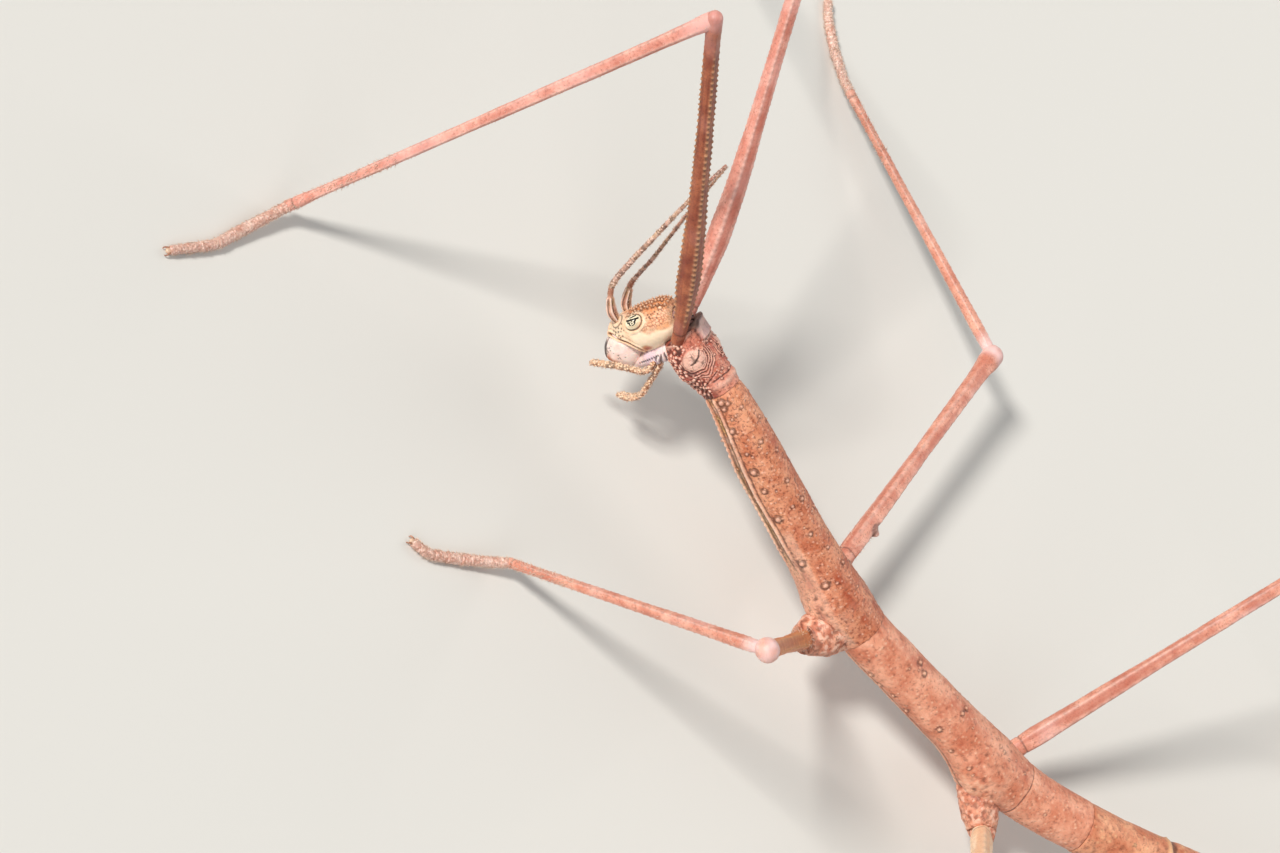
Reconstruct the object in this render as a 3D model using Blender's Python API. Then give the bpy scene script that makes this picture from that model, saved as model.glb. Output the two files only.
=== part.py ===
"""A wingless female stick insect, life size, standing still with its head bent down to feed.

The trunk is one bent axis with a girth along it, parted by thin cuts at its sutures. Each leg starts at the
tip of its coxa and ends in a foot that lies flat on the floor. Lengths are in millimetres until a mesh is made.
"""

import math

import bmesh
import bpy
from mathutils import Matrix, Vector

MM = 0.001
GAP = 0.3
EYE_GAP = 0.2
HIP_GAP = 0.5
FLOOR = 0.0

# The trunk. Distances run backwards along its axis from the front rim of the pronotum.
AXIS_START = (30.504, 5.477, 8.76)
AXIS_STEP = 0.1
BODY_ROLL = 4.6
# (distance, swing to the animal's right, rise) of the direction that points to the tail, in degrees.
HEADINGS = (
    (0.0, 1.0, -1.5),
    (4.0, 1.0, -2.5),
    (5.0, -0.9, -8.3),
    (11.0, -0.9, -8.3),
    (14.0, 0.9, -8.3),
    (20.5, 0.9, -8.3),
    (23.5, -13.2, -4.1),
    (35.5, -13.2, -4.1),
    (39.5, -22.4, 4.9),
    (50.0, -27.8, 11.4),
    (64.0, -22.0, 4.0),
    (90.0, -16.0, -5.0),
)
# (distance, half width, height above the axis, depth below it).
GIRTHS = (
    (-0.3, 1.36, 1.36, 1.20),
    (0.5, 1.42, 1.32, 1.40),
    (2.2, 1.38, 1.20, 1.68),
    (3.9, 1.13, 1.08, 1.30),
    (4.3, 1.20, 1.15, 1.30),
    (6.5, 1.38, 1.28, 1.52),
    (9.0, 1.48, 1.34, 1.90),
    (14.0, 1.50, 1.36, 1.94),
    (18.0, 1.60, 1.40, 1.86),
    (20.3, 1.84, 1.44, 1.64),
    (21.8, 1.72, 1.43, 1.46),
    (24.5, 1.70, 1.48, 1.44),
    (31.0, 1.72, 1.54, 1.50),
    (35.6, 1.95, 1.58, 1.64),
    (37.6, 1.84, 1.54, 1.52),
    (43.0, 1.72, 1.50, 1.46),
    (56.0, 1.76, 1.50, 1.52),
    (68.0, 1.70, 1.44, 1.46),
    (75.0, 1.56, 1.32, 1.30),
    (78.5, 1.42, 1.22, 0.80),
    (82.0, 1.26, 1.10, 0.66),
    (86.0, 1.10, 0.98, 0.60),
    (90.2, 0.72, 0.66, 0.46),
)
# (node, distance of its rear cut, stations along it).
TRUNK = (
    ("prothorax", 3.95, 5),
    ("mesothorax", 21.85, 9),
    ("metathorax", 37.35, 8),
    ("median_segment", 42.85, 4),
    ("abdomen_2", 49.25, 4),
    ("abdomen_3", 56.05, 4),
    ("abdomen_4", 63.05, 4),
    ("abdomen_5", 70.05, 4),
    ("abdomen_6", 76.45, 4),
    ("abdomen_7", 81.65, 4),
    ("abdomen_8", 85.05, 3),
    ("abdomen_9", 87.45, 3),
    ("abdomen_10", 90.05, 3),
)
TRUNK_SIDES = 18
RIM_ROUND = 0.28
RIM_SHRINK = 0.88

# The head, bent down from the trunk. Its own frame is forward, left and dorsal from the neck opening.
HEAD_PLACE = (1.15, -0.34, -0.39)
HEAD_FLEX = 80.0
HEAD_TURN = 18.0
HEAD_TILT = 10.0
HEAD_SIDES = 22
# (forward, half width, dorsal height, ventral depth).
HEAD_GIRTHS = (
    (0.00, 0.80, 0.98, 0.74),
    (0.22, 1.12, 1.22, 0.94),
    (0.90, 1.37, 1.36, 1.12),
    (1.90, 1.45, 1.42, 1.36),
    (2.80, 1.38, 1.40, 1.30),
    (3.50, 1.20, 1.26, 0.92),
    (4.00, 0.95, 0.98, 0.42),
    (4.34, 0.58, 0.60, 0.02),
)
EYE_PLACE = (2.14, 1.24, 0.86)
EYE_RADII = (0.50, 0.42, 0.44)
EYE_SIDES = 12
MOUTH_START = (3.97, 0.0, -0.66)
MOUTH_AXIS = (0.50, 0.0, -0.86)
# (distance, half width, half depth).
MOUTH_GIRTHS = ((0.0, 0.62, 0.78), (0.12, 0.72, 0.88), (0.60, 0.66, 0.80), (0.92, 0.44, 0.56))
LABIUM_START = (1.15, 0.0, -2.0)
LABIUM_GIRTHS = ((0.0, 0.42, 0.20), (0.2, 0.58, 0.28), (1.1, 0.54, 0.30), (1.32, 0.38, 0.20))
MAXILLARY_PALP = ((2.35, 0.78, -2.10), (3.10, 1.12, -1.62), (3.95, 1.24, -1.24), (5.90, 1.02, -0.60))
LABIAL_PALP = ((2.35, 0.40, -2.62), (2.90, 0.55, -3.04), (3.60, 0.60, -3.32), (5.25, 0.55, -2.95))
PALP_RADIUS = 0.25
NECK_HALF = (0.74, 0.56)

# Antennae: (forward, left, dorsal) points of the left one, from its socket to its tip.
ANTENNA_PATH = (
    (3.44, 0.70, 1.52),
    (3.05, 0.72, 2.65),
    (2.60, 0.72, 3.45),
    (-0.60, 0.62, 4.95),
    (-4.20, 0.55, 6.60),
    (-7.00, 0.45, 7.75),
)
SCAPE_RADIUS = 0.30
FLAGELLUM_RADIUS = 0.25
SCAPE_LENGTH = 2.0

# Legs. Coxa tips are (distance along the trunk, out from the axis, above it).
COXA_TIPS = {
    ("fore", "left"): (-0.25, 1.25, 0.0),
    ("fore", "right"): (-0.25, 1.3, -0.05),
    ("mid", "left"): (19.8, 3.3, -1.6),
    ("mid", "right"): (18.6, 2.7, -1.5),
    ("hind", "left"): (36.9, 3.2, -1.4),
    ("hind", "right"): (37.3, 2.9, -1.3),
}
COXA_ROOTS = {"fore": (1.7, 0.95, -0.55), "mid": (20.6, 0.8, -0.9), "hind": (34.7, 0.7, -0.8)}
COXA_HALF = {"fore": 0.62, "mid": 1.24, "hind": 1.18}
FEMUR_LENGTH = {"fore": 24.8, "mid": 20.7, "hind": 23.0}
TIBIA_LENGTH = {"fore": 28.1, "mid": 19.4, "hind": 25.0}
TARSUS_LENGTH = {"fore": 7.9, "mid": 5.9, "hind": 6.6}
# (share of the length, half width), the width across the keels.
FEMUR_HALF = {
    "fore": ((0.0, 0.42), (0.05, 0.48), (0.12, 0.60), (0.20, 0.74), (0.33, 0.66), (0.50, 0.53), (0.70, 0.47),
             (0.92, 0.47), (1.0, 0.50)),
    "mid": ((0.0, 0.46), (0.06, 0.60), (0.18, 0.60), (0.50, 0.54), (0.88, 0.62), (1.0, 0.64)),
    "hind": ((0.0, 0.58), (0.06, 0.76), (0.18, 0.70), (0.50, 0.56), (0.88, 0.52), (1.0, 0.60)),
}
TIBIA_HALF = {
    "fore": ((0.0, 0.42), (0.06, 0.46), (0.40, 0.40), (0.90, 0.32), (1.0, 0.36)),
    "mid": ((0.0, 0.38), (0.06, 0.43), (0.50, 0.35), (0.90, 0.30), (1.0, 0.34)),
    "hind": ((0.0, 0.40), (0.06, 0.44), (0.50, 0.36), (0.90, 0.30), (1.0, 0.34)),
}
KNEE_HALF = {"fore": 0.50, "mid": 0.60, "hind": 0.58}
ANKLE_HALF = 0.36
ANKLE_HEIGHT = 1.1
LIMB_SIDES = 11
CAP_ANGLES = (30.0, 60.0, 80.0)
# Directions in degrees: 0 points forwards, 90 to the animal's left, and a rise is above the floor.
STANCE = {
    ("fore", "left"): {"femur": 1.8, "rise": 47.0, "tibia": 72.6, "foot": 77.8, "toes": 60.8},
    ("fore", "right"): {"femur": -39.1, "rise": 35.4, "tibia": -72.0, "foot": -70.0, "toes": -58.0},
    ("mid", "left"): {"femur": 63.1, "rise": 39.7, "tibia": -19.1, "foot": 44.9, "toes": 14.0},
    ("mid", "right"): {"femur": -87.4, "rise": 1.4, "tibia": -23.2, "foot": -36.0, "toes": -50.0},
    ("hind", "left"): {"femur": 86.7, "rise": 34.7, "tibia": 165.0, "foot": 152.0, "toes": 140.0},
    ("hind", "right"): {"femur": -98.3, "rise": 35.9, "tibia": -160.0, "foot": -150.0, "toes": -138.0},
}
# The shares of the tarsus between which it bends from its foot direction to its toe direction.
TOE_BEND = {"fore": (0.54, 0.64), "mid": (0.72, 0.86), "hind": (0.54, 0.74)}
# (share of the tarsus, centre height, half width, half height): five joints, the first one stepping down.
TARSUS_SHAPE = (
    (0.00, 0.82, 0.26, 0.26),
    (0.10, 0.66, 0.28, 0.28),
    (0.38, 0.34, 0.29, 0.30),
    (0.42, 0.28, 0.34, 0.32),
    (0.45, 0.28, 0.27, 0.27),
    (0.58, 0.27, 0.34, 0.31),
    (0.61, 0.27, 0.27, 0.26),
    (0.72, 0.27, 0.34, 0.31),
    (0.75, 0.27, 0.27, 0.26),
    (0.88, 0.29, 0.29, 0.29),
    (0.96, 0.28, 0.46, 0.32),
    (1.00, 0.27, 0.36, 0.27),
)
TARSUS_SIDES = 10

# The end of the abdomen.
OPERCULUM_START = 77.6
# (distance from its start, depth of its centre below the axis, half width, half height).
OPERCULUM_SHAPE = (
    (0.0, 1.42, 0.62, 0.22),
    (0.4, 1.42, 0.86, 0.32),
    (4.0, 1.34, 0.88, 0.36),
    (8.0, 1.22, 0.62, 0.30),
    (10.6, 1.10, 0.26, 0.25),
)
CERCUS_LENGTH = 1.0
CERCUS_RADIUS = 0.26

SIDES = {"left": 1.0, "right": -1.0}
COLLECTION = "stick_insect"
CUTTERS = "cutters"

# Cuticle colours as (red, green, blue), roughness.
CUTICLE = ((0.52, 0.23, 0.13), 0.55)
LEG_CUTICLE = ((0.46, 0.17, 0.10), 0.50)
PALE_CUTICLE = ((0.72, 0.45, 0.28), 0.50)
MOUTH_CUTICLE = ((0.80, 0.58, 0.50), 0.45)
EYE_FACETS = ((0.68, 0.60, 0.38), 0.25)


def clear_scene():
    """Removes every object and mesh, so that the script can run again."""
    for old in list(bpy.data.objects):
        bpy.data.objects.remove(old, do_unlink=True)
    for mesh in list(bpy.data.meshes):
        bpy.data.meshes.remove(mesh)


def named_collection(name):
    """The collection of that name, linked to the scene."""
    found = bpy.data.collections.get(name) or bpy.data.collections.new(name)
    if name not in bpy.context.scene.collection.children:
        bpy.context.scene.collection.children.link(found)
    return found


def cuticle_material(name, finish):
    """A Principled material of the given colour and roughness."""
    colour, roughness = finish
    material = bpy.data.materials.new(name)
    material.use_nodes = True
    shader = material.node_tree.nodes["Principled BSDF"]
    shader.inputs["Base Color"].default_value = (*colour, 1.0)
    shader.inputs["Roughness"].default_value = roughness
    shader.inputs["Metallic"].default_value = 0.0
    return material


def add_piece(name, data, finish, collection=COLLECTION):
    """Links a mesh or curve as the object of that name, with a material of its own."""
    piece = bpy.data.objects.new(name, data)
    data.materials.append(cuticle_material(name, finish))
    named_collection(collection).objects.link(piece)
    return piece


def interpolate(table, at):
    """The row of a table at this distance, between the rows on either side."""
    if at <= table[0][0]:
        return table[0][1:]
    for (a, *low), (b, *high) in zip(table, table[1:]):
        if at <= b:
            share = (at - a) / (b - a)
            return tuple(x + (y - x) * share for x, y in zip(low, high))
    return table[-1][1:]


def direction(swing, rise):
    """A unit vector that points this far round from forwards and this far above the floor."""
    swing, rise = math.radians(swing), math.radians(rise)
    return Vector((math.cos(swing) * math.cos(rise), math.sin(swing) * math.cos(rise), math.sin(rise)))


def tailward(distance):
    """The direction towards the tail at this distance along the trunk."""
    swing, rise = interpolate(HEADINGS, distance)
    return direction(180.0 - swing, rise)


def axis_points():
    """Points along the trunk's axis, one for each AXIS_STEP."""
    points = [Vector(AXIS_START)]
    for count in range(int(HEADINGS[-1][0] / AXIS_STEP) + 20):
        points.append(points[-1] + tailward((count + 0.5) * AXIS_STEP) * AXIS_STEP)
    return points


AXIS_POINTS = axis_points()


def frame_matrix(forward, left, up, origin):
    """A matrix whose X, Y and Z columns are these directions."""
    return Matrix((forward, left, up)).transposed().to_4x4() + Matrix(
        ((0, 0, 0, origin[0]), (0, 0, 0, origin[1]), (0, 0, 0, origin[2]), (0, 0, 0, 0))
    )


def facing(forward, origin, roll=0.0):
    """A frame that looks along a direction, with its Z axis as near to upright as it can be."""
    forward = forward.normalized()
    helper = Vector((0.0, 0.0, 1.0)) if abs(forward.z) < 0.98 else Vector((1.0, 0.0, 0.0))
    left = helper.cross(forward).normalized()
    up = forward.cross(left)
    return frame_matrix(forward, left, up, origin) @ Matrix.Rotation(math.radians(roll), 4, "X")


def trunk_frame(distance):
    """The trunk's frame at this distance: forward, left, up, and the point on its axis."""
    steps = max(distance, 0.0) / AXIS_STEP
    low = min(int(steps), len(AXIS_POINTS) - 2)
    origin = AXIS_POINTS[low].lerp(AXIS_POINTS[low + 1], steps - low)
    if distance < 0.0:
        origin = origin + tailward(0.0) * distance
    return facing(-tailward(max(distance, 0.0)), origin, BODY_ROLL)


def on_trunk(distance, out, above):
    """A point beside the trunk's axis."""
    return trunk_frame(distance) @ Vector((0.0, out, above))


def head_frame():
    """The head's frame, at its neck opening."""
    origin = Vector(AXIS_START) + Vector(HEAD_PLACE)
    turns = (
        Matrix.Rotation(math.radians(HEAD_FLEX), 4, "Y")
        @ Matrix.Rotation(math.radians(HEAD_TURN), 4, "Z")
        @ Matrix.Rotation(math.radians(HEAD_TILT), 4, "X")
    )
    return Matrix.Translation(origin) @ turns


def place_ring(ring, turn, station):
    """Moves a ring's vertices onto a station: a frame, a half width, a height and a depth."""
    frame, half, height, depth = station
    for vertex in ring:
        across, above = math.cos(vertex[turn]), math.sin(vertex[turn])
        reach = height if above > 0.0 else depth
        vertex.co = (frame @ Vector((0.0, half * across, reach * above))) * MM


def loft(stations, sides):
    """A closed tube through the stations, made by extruding a circle from one to the next."""
    shape = bmesh.new()
    turn = shape.verts.layers.float.new("turn")
    ring = bmesh.ops.create_circle(shape, cap_ends=True, segments=sides, radius=1.0)["verts"]
    for vertex in ring:
        vertex[turn] = math.atan2(vertex.co.y, vertex.co.x)
    place_ring(ring, turn, stations[0])
    edges = list({edge for vertex in ring for edge in vertex.link_edges})
    for station in stations[1:]:
        made = bmesh.ops.extrude_edge_only(shape, edges=edges)["geom"]
        ring = [item for item in made if isinstance(item, bmesh.types.BMVert)]
        edges = [item for item in made if isinstance(item, bmesh.types.BMEdge) and set(item.verts) <= set(ring)]
        place_ring(ring, turn, station)
    bmesh.ops.edgeloop_fill(shape, edges=edges)
    bmesh.ops.recalc_face_normals(shape, faces=shape.faces)
    return shape


def as_mesh(shape, name):
    """Turns a bmesh into a smooth mesh with sharp rims."""
    mesh = bpy.data.meshes.new(name)
    shape.to_mesh(mesh)
    shape.free()
    mesh.shade_smooth()
    mesh.set_sharp_from_angle(angle=math.radians(50.0))
    return mesh


def rounded_stations(frame_at, girth_at, start, end, count):
    """Stations from start to end of a trunk piece, drawn in a little at both rims."""
    inner = [start + RIM_ROUND + (end - start - 2 * RIM_ROUND) * i / (count - 1) for i in range(count)]
    stations = []
    for at in (start, *inner, end):
        shrink = RIM_SHRINK if at in (start, end) else 1.0
        stations.append((frame_at(at), *(size * shrink for size in girth_at(at))))
    return stations


def trunk_girth(distance):
    """Half width, height and depth of the trunk at this distance."""
    return interpolate(GIRTHS, distance)


def build_trunk():
    """Every piece of thorax and abdomen, each ended by a thin cut."""
    start = 0.0
    for name, end, count in TRUNK:
        stations = rounded_stations(trunk_frame, trunk_girth, start, end - GAP, count)
        add_piece(name, as_mesh(loft(stations, TRUNK_SIDES), name), CUTICLE)
        start = end


def build_trunk_clearance():
    """The trunk grown by the gap, which trims the roots of the coxae."""
    stations = []
    for step in range(-1, 48):
        girth = (size + GAP for size in trunk_girth(step))
        stations.append((trunk_frame(step), *girth))
    cutter = add_piece("trunk_clearance", as_mesh(loft(stations, 24), "trunk_clearance"), CUTICLE, CUTTERS)
    hide_cutter(cutter)
    return cutter


def hide_cutter(cutter):
    """Leaves a cutter out of the model."""
    cutter.hide_render = True
    cutter.display_type = "WIRE"


def subtract(piece, cutter):
    """Cuts one object's shape out of another."""
    cut = piece.modifiers.new("clearance", "BOOLEAN")
    cut.operation = "DIFFERENCE"
    cut.solver = "EXACT"
    cut.object = cutter


def ellipsoid(name, frame, radii, sides):
    """An ellipsoid mesh in a frame."""
    shape = bmesh.new()
    bmesh.ops.create_uvsphere(shape, u_segments=sides, v_segments=sides // 2, radius=1.0)
    for vertex in shape.verts:
        vertex.co = (frame @ Vector([a * r for a, r in zip(vertex.co, radii)])) * MM
    bmesh.ops.recalc_face_normals(shape, faces=shape.faces)
    return as_mesh(shape, name)


def build_head():
    """The head capsule, with a socket for each eye, and the eyes."""
    frame = head_frame()
    stations = [
        (frame @ Matrix.Translation((ahead, 0.0, 0.0)), half, dorsal, ventral)
        for ahead, half, dorsal, ventral in HEAD_GIRTHS
    ]
    head = add_piece("head", as_mesh(loft(stations, HEAD_SIDES), "head"), PALE_CUTICLE)
    for side, sign in SIDES.items():
        ahead, out, above = EYE_PLACE
        place = frame @ Matrix.Translation((ahead, out * sign, above))
        name = f"eye_{side}"
        add_piece(name, ellipsoid(name, place, EYE_RADII, EYE_SIDES), EYE_FACETS)
        grown = [radius + EYE_GAP for radius in EYE_RADII]
        socket = add_piece(
            f"socket_{side}", ellipsoid(f"socket_{side}", place, grown, EYE_SIDES), EYE_FACETS, CUTTERS
        )
        hide_cutter(socket)
        subtract(head, socket)


def build_mouth():
    """The labrum and mandibles as one block under the face, and the labium behind them."""
    frame = head_frame()
    mouth_frame = frame @ facing(Vector(MOUTH_AXIS), Vector(MOUTH_START))
    stations = [
        (mouth_frame @ Matrix.Translation((ahead, 0.0, 0.0)), half, thick, thick)
        for ahead, half, thick in MOUTH_GIRTHS
    ]
    add_piece("mandibles", as_mesh(loft(stations, 16), "mandibles"), MOUTH_CUTICLE)
    labium_frame = frame @ Matrix.Translation(LABIUM_START)
    stations = [
        (labium_frame @ Matrix.Translation((ahead, 0.0, 0.0)), half, thick, thick)
        for ahead, half, thick in LABIUM_GIRTHS
    ]
    add_piece("labium", as_mesh(loft(stations, 14), "labium"), MOUTH_CUTICLE)


def build_neck():
    """The short membrane that bends from the pronotum down to the head."""
    half, thick = NECK_HALF
    head = head_frame()
    first = trunk_frame(-GAP) @ Matrix.Translation((0.0, 0.0, 0.45))
    last = head @ Matrix.Translation((-GAP, 0.0, 0.05))
    between = first.lerp(last, 0.5) @ Matrix.Translation((0.12, 0.0, 0.16))
    stations = [(first, half, thick, thick), (between, half, thick, thick), (last, half * 0.95, thick, thick)]
    add_piece("neck", as_mesh(loft(stations, 14), "neck"), MOUTH_CUTICLE)


def smooth_path(points, count):
    """Points on a smooth curve through the given ones."""
    path = []
    ends = [2 * points[0] - points[1], *points, 2 * points[-1] - points[-2]]
    spans = len(points) - 1
    for step in range(count):
        at = step / (count - 1) * spans
        span = min(int(at), spans - 1)
        t = at - span
        a, b, c, d = ends[span : span + 4]
        path.append(
            0.5 * (2 * b + (c - a) * t + (2 * a - 5 * b + 4 * c - d) * t**2 + (3 * b - a - 3 * c + d) * t**3)
        )
    return path


def tube(name, path, radii, finish):
    """A thin tube along a path, with a radius at each point."""
    curve = bpy.data.curves.new(name, "CURVE")
    curve.dimensions = "3D"
    curve.bevel_depth = MM
    curve.bevel_resolution = 2
    curve.use_fill_caps = True
    spline = curve.splines.new("POLY")
    spline.points.add(len(path) - 1)
    for point, place, radius in zip(spline.points, path, radii):
        point.co = (*(place * MM), 1.0)
        point.radius = radius
    return add_piece(name, curve, finish)


def build_feelers():
    """The antennae and the two pairs of palps."""
    frame = head_frame()
    for side, sign in SIDES.items():
        def placed(points):
            return [frame @ Vector((ahead, out * sign, above)) for ahead, out, above in points]

        path = smooth_path(placed(ANTENNA_PATH), 18)
        walked = 0.0
        radii = []
        for here, following in zip(path, path[1:] + path[-1:]):
            radii.append(SCAPE_RADIUS if walked < SCAPE_LENGTH else FLAGELLUM_RADIUS)
            walked += (following - here).length
        tube(f"antenna_{side}", path, radii, PALE_CUTICLE)
        for name, points in (("maxillary_palp", MAXILLARY_PALP), ("labial_palp", LABIAL_PALP)):
            path = smooth_path(placed(points), 8)
            tube(f"{name}_{side}", path, [PALP_RADIUS] * len(path), PALE_CUTICLE)


def limb_stations(start, end, widths, roll):
    """Stations of a straight limb from start to end."""
    forward = end - start
    stations = []
    for share, half in widths:
        frame = facing(forward, start.lerp(end, share), roll)
        stations.append((frame, half, half * 0.92, half * 0.92))
    return stations


def cap_stations(centre, forward, half, roll, opening):
    """Stations that round off a limb's end; opening is 1 at its far end and -1 at its near end."""
    stations = []
    for angle in CAP_ANGLES:
        turn = math.radians(angle)
        origin = centre + forward.normalized() * (half * math.sin(turn) * opening)
        size = half * math.cos(turn)
        stations.append((facing(forward, origin, roll), size, size * 0.92, size * 0.92))
    return stations if opening > 0 else stations[::-1]


def leg_points(pair, side):
    """The coxa's tip, the knee and the ankle of a leg; the tibia's slope follows from the floor."""
    distance, out, above = COXA_TIPS[pair, side]
    stance = STANCE[pair, side]
    hip = on_trunk(distance, out * SIDES[side], above)
    knee = hip + direction(stance["femur"], stance["rise"]) * FEMUR_LENGTH[pair]
    drop = math.asin((knee.z - ANKLE_HEIGHT - FLOOR) / TIBIA_LENGTH[pair])
    ankle = knee + direction(stance["tibia"], -math.degrees(drop)) * TIBIA_LENGTH[pair]
    return hip, knee, ankle


def build_coxa(pair, side, hip, clearance):
    """The leg's root, trimmed to the trunk's surface."""
    name = f"{pair}_{side}_coxa"
    distance, out, above = COXA_ROOTS[pair]
    root = on_trunk(distance, out * SIDES[side], above)
    half = COXA_HALF[pair]
    widths = ((0.0, half), (0.55, half), (0.82, half * 0.82), (1.0, half * 0.48))
    coxa = add_piece(name, as_mesh(loft(limb_stations(root, hip, widths, 0.0), LIMB_SIDES), name), LEG_CUTICLE)
    subtract(coxa, clearance)


def build_femur(pair, side, hip, knee):
    """The femur, from just beyond the coxa to the rounded knee."""
    name = f"{pair}_{side}_femur"
    start = hip + (knee - hip).normalized() * HIP_GAP
    stations = limb_stations(start, knee, FEMUR_HALF[pair], 0.0)
    stations += cap_stations(knee, knee - start, KNEE_HALF[pair], 0.0, 1.0)
    add_piece(name, as_mesh(loft(stations, LIMB_SIDES), name), LEG_CUTICLE)


def build_tibia(pair, side, knee, ankle):
    """The tibia, from just beyond the knee to the rounded ankle."""
    name = f"{pair}_{side}_tibia"
    start = knee + (ankle - knee).normalized() * (KNEE_HALF[pair] + GAP)
    stations = limb_stations(start, ankle, TIBIA_HALF[pair], 0.0)
    stations += cap_stations(ankle, ankle - start, ANKLE_HALF, 0.0, 1.0)
    add_piece(name, as_mesh(loft(stations, LIMB_SIDES), name), LEG_CUTICLE)


def build_tarsus(pair, side, ankle):
    """The foot: five joints that step down from the ankle and lie flat on the floor."""
    name = f"{pair}_{side}_tarsus"
    stance = STANCE[pair, side]
    bend = ((TOE_BEND[pair][0], stance["foot"]), (TOE_BEND[pair][1], stance["toes"]))
    place = Vector((ankle.x, ankle.y, 0.0)) + direction(stance["foot"], 0.0) * (ANKLE_HALF + GAP)
    stations = []
    reached = 0.0
    for share, height, half, thick in TARSUS_SHAPE:
        step = direction(*interpolate(bend, (share + reached) / 2), 0.0) * ((share - reached) * TARSUS_LENGTH[pair])
        place, reached = place + step, share
        ahead = direction(*interpolate(bend, share), 0.0)
        stations.append((facing(ahead, place + Vector((0.0, 0.0, height))), half, thick, thick))
    shape = loft(stations, TARSUS_SIDES)
    everything = shape.verts[:] + shape.edges[:] + shape.faces[:]
    sole = bmesh.ops.bisect_plane(
        shape, geom=everything, dist=1e-8, plane_co=(0.0, 0.0, FLOOR), plane_no=(0.0, 0.0, -1.0), clear_outer=True
    )
    rims = [item for item in sole["geom_cut"] if isinstance(item, bmesh.types.BMEdge)]
    bmesh.ops.holes_fill(shape, edges=rims, sides=0)
    bmesh.ops.recalc_face_normals(shape, faces=shape.faces)
    add_piece(name, as_mesh(shape, name), LEG_CUTICLE)


def build_legs(clearance):
    """All six legs, four nodes each."""
    for pair in ("fore", "mid", "hind"):
        for side in SIDES:
            hip, knee, ankle = leg_points(pair, side)
            build_coxa(pair, side, hip, clearance)
            build_femur(pair, side, hip, knee)
            build_tibia(pair, side, knee, ankle)
            build_tarsus(pair, side, ankle)


def build_tail():
    """The plate under the end of the abdomen, and the cerci beside its tip."""
    stations = []
    for along, below, half, thick in OPERCULUM_SHAPE:
        frame = trunk_frame(OPERCULUM_START + along) @ Matrix.Translation((0.0, 0.0, -below))
        stations.append((frame, half, thick, thick))
    add_piece("operculum", as_mesh(loft(stations, 14), "operculum"), CUTICLE)
    tip = TRUNK[-1][1]
    for side, sign in SIDES.items():
        root = trunk_frame(tip - 0.5) @ Vector((0.0, sign * 1.22, -0.1))
        end = trunk_frame(tip - 0.5) @ Vector((-CERCUS_LENGTH, sign * 1.15, -0.25))
        path = smooth_path([root, root.lerp(end, 0.5), end], 4)
        tube(f"cercus_{side}", path, [CERCUS_RADIUS] * len(path), CUTICLE)


def build_insect():
    """The whole animal."""
    clear_scene()
    build_trunk()
    build_head()
    build_mouth()
    build_neck()
    build_feelers()
    build_legs(build_trunk_clearance())
    build_tail()


build_insect()
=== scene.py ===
"""The looks of a life-size stick insect that stands still with its head bent down to feed.

Every plate of its skin is a shell: rings of points wrapped round a line, which are pushed out and in to carve
the ridges, warts, wrinkles and sutures of the real cuticle. Lengths are in millimetres until a mesh is made.
Distances along the trunk run backwards from the front rim of the pronotum, and angles round a shell are in
degrees: 0 on the left, 90 on top. Each noise pattern has its own number, its salt.
"""

import itertools
import logging
import math
from collections.abc import Callable, Sequence
from dataclasses import dataclass, field
from enum import Enum

import bmesh
import bpy
import numpy as np
from mathutils import Matrix, Vector


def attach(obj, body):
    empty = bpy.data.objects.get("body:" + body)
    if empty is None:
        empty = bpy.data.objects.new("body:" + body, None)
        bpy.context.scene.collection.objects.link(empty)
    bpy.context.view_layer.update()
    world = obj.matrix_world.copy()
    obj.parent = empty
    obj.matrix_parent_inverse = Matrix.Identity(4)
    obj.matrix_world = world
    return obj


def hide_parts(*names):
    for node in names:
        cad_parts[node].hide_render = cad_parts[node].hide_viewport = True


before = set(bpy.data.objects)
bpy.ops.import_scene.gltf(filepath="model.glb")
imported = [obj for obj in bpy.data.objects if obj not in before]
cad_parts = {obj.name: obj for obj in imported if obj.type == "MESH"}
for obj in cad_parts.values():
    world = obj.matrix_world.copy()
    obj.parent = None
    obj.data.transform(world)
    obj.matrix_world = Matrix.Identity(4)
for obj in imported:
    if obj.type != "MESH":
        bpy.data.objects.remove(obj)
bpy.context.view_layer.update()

LOG = logging.getLogger("stick_insect")
Array = np.ndarray
Rows = tuple[tuple[float, ...], ...]
Triple = tuple[float, float, float]
Offsets = tuple[Array, Array]
Girth = Callable[[Array, Array], Offsets]
Tree = bpy.types.NodeTree
Socket = bpy.types.NodeSocket

MM = 0.001
WELD = 1e-8
BODY = "root"
MARKS = "marks"
BAKE_MAP = "OFBake"
UPRIGHT: Triple = (0.0, 0.0, 1.0)
EVEN: Triple = (1.0, 1.0, 1.0)
ALL_ROUND = (-180.0, 180.0)


class Side(Enum):
    """The animal's two sides, as the sign of their Y axis."""

    LEFT = 1.0
    RIGHT = -1.0

    @property
    def label(self) -> str:
        """The side's word in the names of pieces."""
        return self.name.lower()

    def turned(self, angle: Array | float) -> Array | float:
        """The angle on this side that mirrors one on the left."""
        return angle if self is Side.LEFT else 180.0 - angle


class Pair(Enum):
    """The three pairs of legs."""

    FORE = "fore"
    MID = "mid"
    HIND = "hind"


class Mark(Enum):
    """The colour marks, by the channel of a shell's colour attribute that holds each: stains, and the painted
    shade and painted highlights that the dark and pale channels also carry.
    """

    PALE = 0
    DARK = 1
    WARM = 2
    OLIVE = 3


# --- noise ---


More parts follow.
